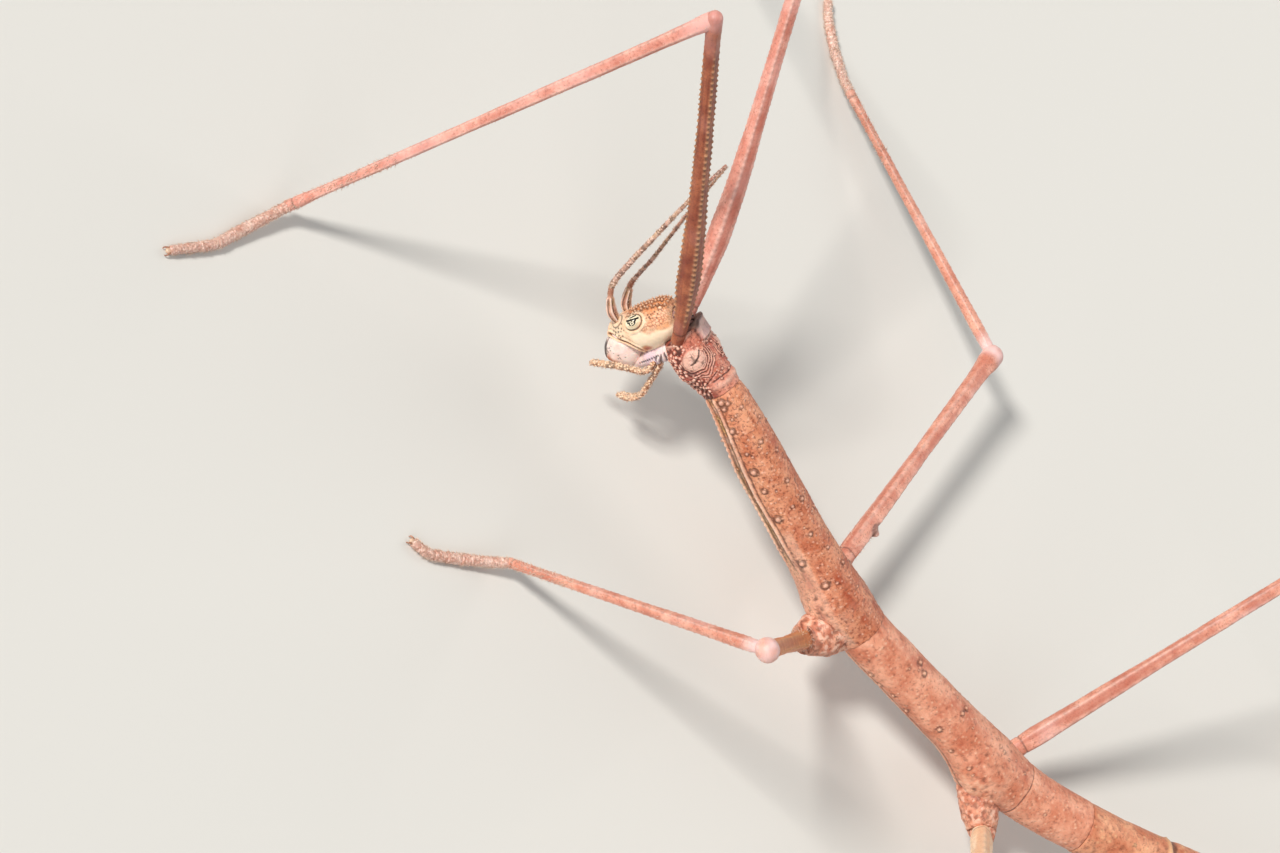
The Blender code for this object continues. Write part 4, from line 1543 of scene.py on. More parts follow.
@dataclass
class Head:
    """The head capsule, its eyes, mouthparts and feelers, and the neck behind it.

    Its own axes are forward, left and dorsal from the neck opening.
    """

    trunk: Rail
    trunk_start: Triple
    # Where it hangs, in mm from the front of the trunk's axis, and its turns in degrees.
    place: Triple = (1.15, -0.34, -0.39)
    flex: float = 80.0
    turn: float = 18.0
    tilt: float = 10.0
    capsule: Profile = Profile(
        (
            (0, 0.84, 1.12, 0.74), (0.22, 1.14, 1.36, 0.94), (0.9, 1.37, 1.48, 1.12), (1.9, 1.45, 1.42, 1.36),
            (2.8, 1.38, 1.32, 1.3), (3.5, 1.2, 1.2, 0.92), (4, 0.98, 1.02, 0.5),
        ), 0.3,
    )
    # (distance forward, how far up the cream cheek reaches).
    cheek_top: Profile = Profile(((0.3, -0.15), (1.5, -0.12), (2.2, 0.4), (3, 0.6)))
    # (distance, angle, radius) of the dark pits of face and temple.
    freckles: Rows = (
        (3.15, 42, 0.05), (3.25, 33, 0.06), (3.35, 24, 0.05), (3.42, 36, 0.06), (3.52, 28, 0.07),
        (3.6, 18, 0.05), (3.62, 39, 0.05), (3.74, 30, 0.06), (3.8, 21, 0.05), (3.3, 14, 0.05),
        (3.48, 8, 0.05), (3.85, 38, 0.06), (3.95, 28, 0.05), (3.1, 26, 0.04), (3.68, 10, 0.04),
        (1.28, 36, 0.06), (1.16, 40, 0.05), (1.36, 42, 0.06), (1.22, 31, 0.05), (1.42, 34, 0.04),
        (0.92, 45, 0.05), (1.02, 40, 0.04), (0.75, 36, 0.04), (1.05, 30, 0.04), (0.86, 27, 0.04),
    )
    eye_place: Triple = (2.13, 1.16, 0.83)
    eye_radii: Triple = (0.53, 0.4, 0.4)
    # (distance, angle) along the suture between the cheek and the mouth plates.
    mouth_suture: Rows = ((4.3, 35), (3.6, 2), (3.09, -14), (2.69, -32), (2.55, -55), (2.5, -80))
    mandible_widths: Profile = Profile(
        (
            (0, 0.94, 0.8, 0.8), (0.5, 1.14, 1, 1.08), (1, 1.14, 1.12, 1.22), (1.5, 1, 1.08, 1.16),
            (2, 0.78, 0.86, 0.92),
        ), 0.15,
    )
    maxilla_widths: Profile = Profile(
        (
            (0, 0.45, 0.62, 0.34), (0.6, 0.74, 0.7, 0.5), (1.6, 0.86, 0.66, 0.64), (2.5, 0.88, 0.6, 0.68),
            (3, 0.7, 0.4, 0.55), (3.6, 0.45, 0.22, 0.42), (4.1, 0.25, 0.12, 0.25),
        ), 0.25,
    )
    # The right antenna is held a little further back than the left.
    antennae: tuple[Rows, Rows] = (
        (
            (3.32, 0.64, 1.05), (3.36, 0.72, 1.8), (3.06, 0.74, 2.6), (2.52, 0.72, 3.34), (1.1, 0.68, 4.12),
            (-0.6, 0.62, 4.93), (-4.2, 0.55, 6.6), (-7, 0.45, 7.75),
        ),
        (
            (3.1, 0.62, 1), (3.02, 0.74, 1.64), (2.64, 0.76, 2.2), (2.1, 0.73, 2.72), (1.1, 0.68, 3.24),
            (0, 0.62, 3.8), (-3.2, 0.55, 5.66), (-6.6, 0.45, 7.5),
        ),
    )
    scape: Profile = Profile(((0, 0.24), (0.35, 0.36), (0.8, 0.4), (1.5, 0.3), (1.75, 0.2)), flat=0.66)
    scape_length: float = 1.75
    pedicel_length: float = 0.55
    # The right palps are held lower and further in than the left ones.
    maxillary_palps: tuple[Rows, Rows] = (
        (
            (2, 0.55, -1.6), (2.45, 0.82, -2.18), (3, 1.04, -2.18), (3.6, 1.16, -1.76), (4.3, 1.2, -1.34),
            (5.9, 1.04, -0.66),
        ),
        ((2, 0.5, -1.6), (2.42, 0.72, -1.95), (2.95, 0.85, -2.1), (3.7, 0.8, -2.05), (4.7, 0.5, -1.95)),
    )
    labial_palps: tuple[Rows, Rows] = (
        (
            (1.85, 0.3, -1.75), (2.2, 0.42, -2.35), (2.62, 0.48, -2.72), (3.18, 0.55, -3.12),
            (3.92, 0.6, -3.62),
            (4.7, 0.58, -3.62), (5.4, 0.55, -3.12),
        ),
        (
            (1.85, 0.3, -1.75), (2.4, 0.42, -2.45), (3.1, 0.48, -3), (3.7, 0.5, -3.4), (4.4, 0.5, -3.86),
            (5.1, 0.5, -3.8), (5.7, 0.5, -3.4),
        ),
    )

    @property
    def pose(self) -> Matrix:
        """Its frame.

        Returns:
            The matrix from its own axes to the model's, mm.
        """
        turns = (
            Matrix.Rotation(math.radians(self.flex), 4, "Y")
            @ Matrix.Rotation(math.radians(self.turn), 4, "Z")
            @ Matrix.Rotation(math.radians(self.tilt), 4, "X")
        )
        return Matrix.Translation(Vector(self.trunk_start) + Vector(self.place)) @ turns

    def own_axes(self, shell: Shell, side: Side = Side.LEFT) -> tuple[Array, Array, Array]:
        """How far forward, out to one side and up every point of a shell lies in the head's own axes.

        Args:
            shell: The shell.
            side: Which side is out.

        Returns:
            Distances forward, out and up.
        """
        pose = self.pose
        local = (shell.base - np.array(pose.translation)) @ np.array(pose.to_3x3())
        return local[..., 0], local[..., 1] * side.value, local[..., 2]

    def rail(self, points: Sequence[Sequence[float]] | Array, upright: Sequence[float] = UPRIGHT) -> Rail:
        """A rail through points of the head's own axes."""
        return Rail.through(
            [self.pose @ Vector(point) for point in points], self.pose.to_3x3() @ Vector(upright)
        )

    def build(self) -> None:
        """Builds the head and dresses it."""
        show(self.skull().object(CROWN), "head_cuticle", "head")
        show(self.neck().object(COLLAR), "mouth_cuticle", "neck")
        show(self.mandibles().object(LIPS), "mouth_cuticle", "mandibles")
        show(self.maxillae().object(LIPS), "mouth_cuticle", "labium")
        feeler_hairs = Bristles("antenna_bristles", thickness=0.02, seed=3)
        palp_hairs = Bristles("palp_bristles", thickness=0.022, seed=4)
        for tile, side in enumerate(Side):
            show(self.eye(side).object(EyeLens()), "eye", f"eye_{side.label}")
            shells = self.feeler(side, self.antennae[tile])
            for number, shell in enumerate(shells):
                feeler_hairs.sow(shell, 520 if number == 2 else 40, 0.13, 0.7, (tile * 3 + number, 6))
            rings = joined(f"antenna_rings_{side.label}", shells, FEELER)
            show(rings, "feeler_cuticle", f"antenna_{side.label}")
            for number, (kind, path, radius) in enumerate((
                ("maxillary_palp", self.maxillary_palps[tile], 0.205),
                ("labial_palp", self.labial_palps[tile], 0.17)
            )):
                palp = self.palp(kind, path, radius, side)
                palp_hairs.sow(palp, 300, 0.14, 0.5, (tile * 2 + number, 4), alongs=(1, 9))
                show(palp.object(CROWN), "feeler_cuticle", f"{kind}_{side.label}")
        show(feeler_hairs.object(), "feeler_cuticle")
        show(palp_hairs.object(), "feeler_cuticle")

    def skull(self) -> Shell:
        """The capsule: smooth cream cheeks, a wrinkled orange crown with rows of teeth, and a spotted face.

        Returns:
            The shell.
        """
        rail = self.rail([(at, 0, 0) for at in np.linspace(-0.2, 4.6, 12)])
        shell = Shell.wrap(
            "head_capsule", rail, capped(0.28, 4.2, 290, 0.22, 0.42, 14), 272, self.capsule.girth
        )
        forward, _, dorsal = self.own_axes(shell)
        shell.grain(0.15, 0.012, 111)
        above = dorsal - self.cheek_top.read(forward)[0] + 0.1 * shell.soft(0.5, 113)
        crown = step_up(above, 0.05, 0.4) * step_up(forward, 3.2, 2.5)
        nearest, second, _ = pebbles(shell.base * (1, 1, 0.7), 0.17, 121)
        seam = step_up(second - nearest, 0.3, 0.04) * crown
        strokes = shell.lines(0.3, 125, 0.05, (1, 1, 2.2)) * shell.soft(0.4, 127, 0.1, 0.5)
        shell.carve(
            -0.016 * seam, warm=0.55 * seam * shell.soft(0.45, 123, -0.3, 0.3), dark=0.55 * crown * strokes,
            olive=0.85 * step_up(dorsal, 0.5, 1.35) * step_up(forward, 3.2, 2.2),
        )
        for side in Side:
            self.cheek(shell, side)
            self.round_eye(shell, side)
            self.antenna_socket(shell, side)
        # Small sharp teeth stand in rows along the crown.
        chance = np.random.default_rng(31)
        for angle, at in itertools.product((62, 76, 90, 104, 118), np.arange(0.25, 2.8, 0.21)):
            shell.wart(
                at + chance.uniform(-0.05, 0.05), angle + chance.uniform(-4, 4), chance.uniform(0.05, 0.07),
                chance.uniform(0.1, 0.17), 0.2,
            )
        for angle in (50, 130):
            shell.wart(0.55, angle, 0.12, 0.07, 0.8)
        for at, angle, radius in self.freckles:
            for turn in (angle, 180 - angle):
                shell.freckle(at + chance.uniform(-0.03, 0.03), turn + chance.uniform(-2, 2), radius)
        shell.weather(0.016, 0.75, 0.4)
        return shell

    def round_eye(self, shell: Shell, side: Side) -> None:
        """Raises a rim round one eye and paints shade into the crease inside it.

        Args:
            shell: The capsule.
            side: Which eye.
        """
        offsets = (part - middle for part, middle in zip(self.own_axes(shell, side), self.eye_place))
        ahead, aside, above = offsets
        reach = np.sqrt((ahead / 0.54) ** 2 + (aside / 0.46) ** 2 + (above / 0.43) ** 2)
        # The dark crease inside the rim is painted shade.
        shell.carve(
            0.1 * hump(reach, 0, 1.9) + 0.03 * hump(reach, 1.3, 0.16) - 0.05 * hump(reach, 1.02, 0.13),
            clean=step_up(reach, 1.6, 1.3), pale=0.5 * hump(reach, 1.34, 0.18),
            dark=0.95 * hump(reach, 1.02, 0.075),
        )
        brow = hump(reach, 1.52, 0.09) * step_up(above / 0.44, 0.75, 1.1)
        shell.carve(dark=0.85 * brow * shell.soft(0.16, 131, -0.2, 0))

    def cheek(self, shell: Shell, side: Side) -> None:
        """Smooths one cheek to cream, cuts the suture under it and stains its corner.

        Args:
            shell: The capsule.
            side: Which cheek.
        """
        forward, out, dorsal = self.own_axes(shell, side)
        half = step_up(out, 0, 0.3)
        edge = dorsal - self.cheek_top.read(forward)[0] + 0.12 * shell.soft(0.5, 133)
        cream = half * step_up(forward, 3, 2.3) * step_up(edge, 0.22, -0.12)
        shell.carve(0.06 * cream * hump(dorsal, -0.35, 0.5), clean=0.8 * cream, pale=0.85 * cream)
        shell.carve(pale=0.7 * half * step_up(forward, 2.4, 3.1) * shell.soft(0.4, 135, -0.9, 0.1))
        # Under the suture a thin fold stands out, and then the capsule steps in behind the mandibles.
        outer = shell.outer(side)
        stops, angles = np.array(self.mouth_suture)[::-1].T
        line = np.interp(outer, angles, stops)
        under = half * step_up(shell.grid()[0] - line, 0.22, 0.42) * step_up(outer, 60, 30)
        cut = shell.track(side, self.mouth_suture, 26)
        shell.carve(0.06 * hump(cut, 0.16, 0.08) - 0.22 * under, clean=step_up(cut, 0.12, 0.06))
        shell.groove(cut, 0.055, 0.11, 1)
        shell.carve(pale=0.6 * hump(cut, 0.16, 0.06))
        rust = shell.spot(2.22, side.turned(-42))
        shell.carve(
            clean=step_up(rust, 0.42, 0.2),
            warm=hump(rust, 0, 0.27) * (0.75 + 0.25 * step_up(dorsal, -0.8, -1)),
            pale=0.5 * hump(rust, 0.44, 0.12) * step_up(dorsal, -1, -0.7),
        )
        chance = np.random.default_rng(37)
        for _ in range(16):
            reach = shell.spot(chance.uniform(1.2, 2.6), side.turned(chance.uniform(-8, 16)))
            shell.carve(warm=0.5 * hump(reach, 0, chance.uniform(0.05, 0.13)))

    def antenna_socket(self, shell: Shell, side: Side) -> None:
        """Raises a collar where one antenna is rooted.

        Args:
            shell: The capsule.
            side: Which antenna.
        """
        offsets = (part - middle for part, middle in zip(self.own_axes(shell, side), self.antennae[0][0]))
        reach = np.sqrt(sum(offset**2 for offset in offsets))
        shell.carve(0.16 * np.exp(-((reach / 0.5) ** 4)), pale=0.5 * hump(reach, 0.52, 0.08))
        shell.groove(np.abs(reach - 0.4), 0.05, 0.04, 0.8)

    def eye(self, side: Side) -> Shell:
        """One eye: cream, with a broken dark bar over a small dark ring, and a dark edge of painted shade
        where it meets the capsule.

        Args:
            side: Which eye.

        Returns:
            The shell.
        """
        ahead, out, above = self.eye_place
        long_way, deep, short_way = self.eye_radii
        aim = Vector((-0.28, 0.87 * side.value, 0.36)).normalized()
        centre = Vector((ahead, out * side.value, above))
        rail = self.rail([centre + aim * (deep * share) for share in np.linspace(-1, 1, 7)], (0.2, 0, 1))
        polar = np.linspace(0, np.pi, 84)
        rings = np.stack((deep - deep * np.cos(polar), np.sin(polar)), axis=1)
        lens = Profile(((0, long_way, short_way, short_way),))
        shell = Shell.wrap(f"eye_lens_{side.label}", rail, rings, 120, lens.girth)
        forward, _, dorsal = self.own_axes(shell)
        rough = shell.soft(0.07, 141)
        across = (forward - ahead) / long_way + 0.1 + 0.03 * rough
        high = (dorsal - above) / short_way - 0.12 + 0.03 * shell.soft(0.07, 143)
        reach = np.hypot(across, high * 1.1)
        spots = ((0.42, 0.24, 0.16), (-0.4, 0.22, 0.15))
        figure = np.maximum.reduce([
            hump(high, 0.5 - 0.16 * across**2 + 0.1 * across, 0.14) * window(across, -0.72, 0.66, 0.06),
            sum(hump(np.hypot(across - at, high - up), 0, width) for at, up, width in spots),
            hump(high, 0.76, 0.07) * window(across, -0.45, 0.3, 0.06) * step_up(rough, -0.3, 0),
            hump(reach, 0.3, 0.09) * step_up(rough, -0.55, -0.3),
            hump(reach, 0, 0.12),
        ])
        front = (rings[:, 0] > deep)[:, None]
        edge = step_up(np.degrees(np.arccos(np.clip((rings[:, 0] - deep) / deep, -1, 1))), 74, 84)[:, None]
        # The dark edge is painted shade where the eye meets the capsule.
        shell.carve(
            dark=np.maximum(step_up(figure, 0.3, 0.62) * front, 0.95 * edge),
            warm=0.45 * hump(reach, 0.55, 0.12) * step_up(high, 0, -0.3) * front,
        )
        return shell

    def neck(self) -> Shell:
        """The soft folded membrane between the prothorax and the head, which lies in shade; that shade is
        painted on it as a dark stain, darkest in the hollows of its folds.

        Returns:
            The shell.
        """
        path = [self.trunk.spot(at, 0, up) for at, up in ((0.7, -0.1), (0.05, 0), (-0.4, 0.05))]
        path += [self.pose @ Vector((at, 0, 0)) for at in (-0.25, 0.25, 0.7)]
        rail = Rail.through(smooth_path(path, 40), self.pose.to_3x3() @ Vector((0, 1, 0)))

        def girth(at: Array, turn: Array) -> Offsets:
            """A round section, narrower at its waist."""
            waist = 0.74 - 0.08 * hump(at, rail.length / 2, 0.9)
            return oval(turn, waist, waist)

        shell = Shell.wrap("neck_membrane", rail, capped(0.1, rail.length - 0.1, 90, 0.08, 0.08), 90, girth)
        folds = ripple(shell.grid()[0] + 0.12 * shell.soft(0.6, 151), 0.26)
        # Painted shade: the whole membrane is stained dark, and darker still in the hollows of its folds.
        shell.carve(0.04 * folds, olive=0.7, dark=0.45 + 0.5 * step_up(folds, 0.3, -0.7))
        return shell

    def mandibles(self) -> Shell:
        """The labrum and the two mandibles as one set of plates under the face.

        Returns:
            The shell.
        """
        start, axis = Vector((3.66, 0, -0.2)), Vector((0.5, 0, -0.86))
        rail = self.rail([start + axis * at for at in np.linspace(-0.5, 1.9, 9)])

        def girth(at: Array, turn: Array) -> Offsets:
            """An oval section with squarer corners.

            Args:
                at: Distances.
                turn: Angles.

            Returns:
                The offsets to the left and up.
            """
            across, above = oval(turn, *np.ones(2))
            half, front, back = self.mandible_widths.read(at)
            reach = np.where(above > 0, front, back)
            return (
                half * np.sign(across) * np.abs(across) ** 0.8,
                reach * np.sign(above) * np.abs(above) ** 0.95,
            )

        shell = Shell.wrap("mandible_plates", rail, capped(0.1, 1.72, 120, 0.12, 0.3, 12), 200, girth)
        along, front = shell.grid()[0], shell.rise()
        shell.grain(0.2, 0.01, 161)
        forward, left, dorsal = self.own_axes(shell)
        middle = np.abs(left)
        corner = 0.73 * forward + 0.5 * middle - 0.465 * dorsal + 0.08 * shell.soft(0.4, 163)
        # The labrum's edge, the seam between the mandibles and the line where they meet behind.
        shell.groove(np.abs(front - 0.8) * 1.2 + step_up(along, 0.3, 0), 0.06, 0.07, 0.9)
        shell.groove(middle + step_up(front, 0.3, 0), 0.04, 0.05, 0.8)
        shell.groove(middle + step_up(front, -0.3, 0), 0.06, 0.09, 0.9)
        snout = (
            step_up(0.853 * forward + 0.33 * middle + 0.404 * dorsal, 4.02, 4.15)
            * step_up(corner, 4.6, 4.3)
        )
        shell.carve(
            warm=step_up(corner, 4.05, 4.3), dark=0.9 * np.maximum(snout, step_up(along, 0.03, -0.03))
        )
        chance = np.random.default_rng(41)
        for _ in range(46):
            angle = chance.uniform(-28, 52)
            angle = angle if chance.random() < 0.5 else 180 - angle
            shell.freckle(chance.uniform(0.65, 1.55), angle, chance.uniform(0.022, 0.05))
        shell.weather(0.016, 0.7, 0.3)
        return shell

    def maxillae(self) -> Shell:
        """The soft folded parts behind the mandibles, with the labium under them.

        Returns:
            The shell.
        """
        rail = self.rail([(at, 0, -1.42 - 0.1 * at) for at in np.linspace(0, 4.4, 12)])
        rings = capped(0.2, 3.9, 160, 0.25, 0.2, 10)
        shell = Shell.wrap("maxillae_and_labium", rail, rings, 160, self.maxilla_widths.girth)
        along, rise = shell.grid()[0], shell.rise()
        shell.grain(0.2, 0.012, 171)
        folds = ripple(along + 0.16 * shell.soft(0.5, 173) + 0.35 * rise, 0.29)
        low = step_up(rise, 0.55, -0.1) * step_up(rise, 0.15, -0.25)
        region = low * window(along, 1.15, 1.95, 0.15)
        crease = shell.soft(0.32, 175, stretch=(0.6, 1, 1))
        bloom = 0.75 * window(along, 1.5, 3, 0.3) * shell.soft(0.7, 177, -0.8, 0.2)
        shell.carve(
            0.04 * crease + 0.055 * folds * region, olive=np.maximum(0.5 * step_up(crease, 0.2, 0.7), bloom),
            dark=0.3 * step_up(np.abs(crease), 0.05, 0) * window(along, 0.6, 2.6, 0.3),
            pale=0.7 * np.maximum(step_up(along, 1.6, 1.1), region * step_up(folds, 0.2, 0.8)),
        )
        shell.carve(dark=0.8 * region * step_up(folds, -0.1, -0.7))
        for side in Side:
            seam = hump(shell.outer(side), -2, 7) * window(along, 1.7, 3.1, 0.1)
            shell.carve(-0.03 * seam, dark=seam * step_up(ripple(along, 0.16), 0.3, -0.5))
        shell.weather(0.016, 0.7, 0.35)
        return shell

    def palp(self, kind: str, path: Rows, radius: float, side: Side) -> Shell:
        """One palp, with its joints.

        Args:
            kind: Its name.
            path: Where it runs on the left side.
            radius: Its radius, mm.
            side: Which side.

        Returns:
            The shell.
        """
        rail = self.rail(smooth_path([(at, out * side.value, up) for at, out, up in path], 40), (0.3, 0, 1))
        joints = rail.length * np.array([0.14, 0.3, 0.46, 0.66])

        def girth(at: Array, turn: Array) -> Offsets:
            """A section that narrows at each joint.

            Args:
                at: Distances.
                turn: Angles.

            Returns:
                The offsets to the left and up.
            """
            swell = 1 - 0.16 * sum(hump(at, joint, 0.07) for joint in joints)
            size = radius * swell * np.interp(at / rail.length, (0, 0.6, 0.9, 1), (0.95, 1, 1.08, 0.9))
            return oval(turn, size, size * 0.9)

        rings = capped(0.05, rail.length - radius, 170, 0.05, radius, 8)
        shell = Shell.wrap(f"{kind}_skin_{side.label}", rail, rings, 44, girth)
        along, rise = shell.grid()[0], shell.rise()
        shell.grain(0.12, 0.01, 181)
        grain = shell.granules(0.13, 0.05, 0.8, 1, 183, 0.55)
        shell.carve(
            dark=0.65 * step_up(grain, 0.12, 0) * shell.soft(0.3, 187, -0.4, 0.2),
            pale=np.maximum(0.35 * step_up(rise, 0, 0.8), 0.8 * step_up(grain, 0.3, 0.9)),
            warm=0.45 * step_up(rise, 0.2, -0.6),
        )
        for joint in joints:
            shell.carve(dark=0.55 * hump(along, joint, 0.035))
        shell.weather(0.012, 0.6, 0.5)
        return shell

    def feeler(self, side: Side, route: Rows) -> list[Shell]:
        """One antenna: a broad ridged scape, a short pedicel and the ringed flagellum.

        Args:
            side: Which side.
            route: Where it runs.

        Returns:
            The three shells.
        """
        path = smooth_path([(at, out * side.value, up) for at, out, up in route], 90)
        rail = self.rail(path, (1, 0, 0))
        root = self.scape_length + self.pedicel_length
        # The right antenna lies in shade: its flagellum gets fewer pale marks, as painted shade.
        thickness, lit_share = (1.16, 1) if side is Side.LEFT else (0.84, 0.4)
        joints = [root]
        while joints[-1] < rail.length:
            joints.append(joints[-1] + 0.34 + 0.035 * len(joints))

        def pedicel_girth(at: Array, turn: Array) -> Offsets:
            """A section that narrows towards the flagellum."""
            size = 0.19 - 0.02 * hump(at, root, 0.2)
            return oval(turn, size, size * 0.9)

        def flagellum_girth(at: Array, turn: Array) -> Offsets:
            """A section that swells along each ring.

            Args:
                at: Distances.
                turn: Angles.

            Returns:
                The offsets to the left and up.
            """
            size = np.interp(at, (root, root + 1, rail.length), (0.175, 0.16, 0.085)) * thickness
            for start, end in zip(joints, joints[1:]):
                share = np.clip((at - start) / (end - start), 0, 1)
                size = np.where((at >= start) & (at < end), size * (0.86 + 0.16 * share**1.5), size)
            return oval(turn, size, size)

        scape, pedicel, flagellum = (
            Shell.wrap(f"{name}_{side.label}", rail, rings, sides, girth)
            for name, rings, sides, girth in (
                ("scape", capped(0.08, self.scape_length - 0.06, 90, 0.08, 0.08), 64, self.scape.girth),
                ("pedicel", capped(self.scape_length - 0.02, root - 0.03, 36, 0.06, 0.06), 48, pedicel_girth),
                ("flagellum", capped(root, rail.length - 0.1, 470, 0.05, 0.12), 28, flagellum_girth),
            )
        )
        along, _ = scape.grid()
        scape.grain(0.14, 0.01, 191)
        # On the scape each raised ridge is painted pale as a highlight, and the strip beside it dark as its
        # shadow.
        for angle in (10, 75, 150, 215, 290):
            ridge = scape.beside(angle, 11) * window(along, 0.15, 1.55, 0.15)
            ridge_shadow = scape.beside(angle + 22, 7) * window(along, 0.1, 1.5, 0.2)
            scape.carve(0.06 * ridge, pale=0.95 * ridge, dark=0.95 * ridge_shadow)
        scape.carve(olive=0.35 * scape.soft(0.5, 193, -0.2, 0.6))
        pedicel.grain(0.14, 0.01, 195)
        along, _ = flagellum.grid()
        for joint in joints:
            flagellum.carve(
                dark=0.55 * hump(along, joint + 0.02, 0.035), pale=0.45 * hump(along, joint - 0.09, 0.06)
            )
        grain = flagellum.granules(0.12, 0.022, 0.8, 1, 199, 0.55)
        flagellum.carve(
            pale=np.maximum(
                (0.25 + 0.7 * step_up(grain, 0.2, 0.8)) * lit_share, 0.5 * flagellum.soft(0.3, 198, 0, 0.6)
            ),
            dark=0.6 * step_up(grain, 0.08, 0) * flagellum.soft(0.3, 200, -0.2, 0.3),
            olive=0.3 * flagellum.soft(0.8, 197, -0.1, 0.5),
            warm=0.7 * step_up(along, rail.length - 5.5, rail.length - 3),
        )
        return [scape, pedicel, flagellum]


# --- the legs ---


@dataclass(frozen=True)
class LegSizes:
    """The lengths and widths that both legs of a pair share."""

    root: Triple
    coxa_half: float
    femur_length: float
    tibia_length: float
    tarsus_length: float
    femur: Rows
    tibia: Rows
    knee_half: float
    toe_bend: tuple[float, float]
    bead_gap: float
    bead_height: float
    rings: int = 240
    sides: int = 52


@dataclass(frozen=True)
class Stance:
    """How one leg is held: its coxa's tip and the directions of its parts, in degrees, and its finish.

    The far coxae lie deeper in the trunk, so they keep only a share of their width. The bow, in mm, is how
    far the femur's base curves inwards beside the head, and the arch how far its middle stands off the
    straight line.
    """

    tip: Triple
    femur: float
    rise: float
    tibia: float
    foot: float
    toes: float
    finish: Cuticle = FAIR_LIMB
    coxa_share: float = 1.0
    bow: Triple = (0, 0, 0)
    arch: Triple = (0, 0, 0)


SIZES = {
    Pair.FORE: LegSizes(
        root=(1.7, 0.95, -0.55), coxa_half=0.62, femur_length=24.8, tibia_length=28.1, tarsus_length=7.9,
        femur=((0, 0.42), (0.05, 0.48), (0.12, 0.6), (0.2, 0.74), (0.33, 0.66), (0.5, 0.53), (0.7, 0.47),
               (0.92, 0.47), (1, 0.5)),
        tibia=((0, 0.47), (0.03, 0.5), (0.1, 0.45), (0.4, 0.4), (0.9, 0.32), (1, 0.36)),
        knee_half=0.47, toe_bend=(0.54, 0.64), bead_gap=0.42, bead_height=0.085, rings=320, sides=60,
    ),
    Pair.MID: LegSizes(
        root=(20.8, 0.8, -1), coxa_half=1.5, femur_length=20.7, tibia_length=19.4, tarsus_length=5.9,
        femur=((0, 0.56), (0.06, 0.7), (0.18, 0.66), (0.5, 0.55), (0.88, 0.61), (0.95, 0.7), (1, 0.74)),
        tibia=((0, 0.38), (0.06, 0.43), (0.5, 0.35), (0.9, 0.3), (1, 0.34)),
        knee_half=0.7, toe_bend=(0.72, 0.86), bead_gap=0.75, bead_height=0.06,
    ),
    Pair.HIND: LegSizes(
        root=(34.7, 0.7, -0.8), coxa_half=1.3, femur_length=23, tibia_length=25, tarsus_length=6.6,
        femur=((0, 0.58), (0.06, 0.76), (0.18, 0.7), (0.5, 0.56), (0.88, 0.52), (1, 0.6)),
        tibia=((0, 0.4), (0.06, 0.44), (0.5, 0.36), (0.9, 0.3), (1, 0.34)),
        knee_half=0.58, toe_bend=(0.54, 0.74), bead_gap=0.9, bead_height=0.05,
    ),
}
STANCES = {
    (Pair.FORE, Side.LEFT): Stance(
        (-0.25, 1.25, 0), 1.8, 47, 72.6, 77.8, 60.8, LIMB, arch=(-0.14, -0.13, 0.16)
    ),
    (Pair.FORE, Side.RIGHT): Stance(
        (-0.25, 1.3, -0.05), -39.1, 35.4, -72, -70, -58, PINK_LIMB, bow=(0.36, 0.33, -0.42)
    ),
    (Pair.MID, Side.LEFT): Stance((19.8, 3.3, -1.6), 63.1, 39.7, -19.1, 44.9, 14, TAN_LIMB),
    (Pair.MID, Side.RIGHT): Stance((18.6, 2.7, -1.5), -87.4, 1.4, -23.2, -36, -50, coxa_share=0.58),
    (Pair.HIND, Side.LEFT): Stance((36.9, 3.2, -1.4), 86.7, 34.7, 165, 152, 140, CREAM_LIMB),
    (Pair.HIND, Side.RIGHT): Stance((37.3, 2.9, -1.3), -98.3, 35.9, -160, -150, -138, coxa_share=0.8),
}
# The finish of the shin where it isn't the thigh's own.
SHINS = {LIMB: PINK_LIMB, TAN_LIMB: FAIR_LIMB}


def heading(swing: float, rise: float) -> Vector:
    """A unit vector at this angle round from forwards and this angle above the floor."""
    swing, rise = math.radians(swing), math.radians(rise)
    return Vector((math.cos(swing) * math.cos(rise), math.sin(swing) * math.cos(rise), math.sin(rise)))


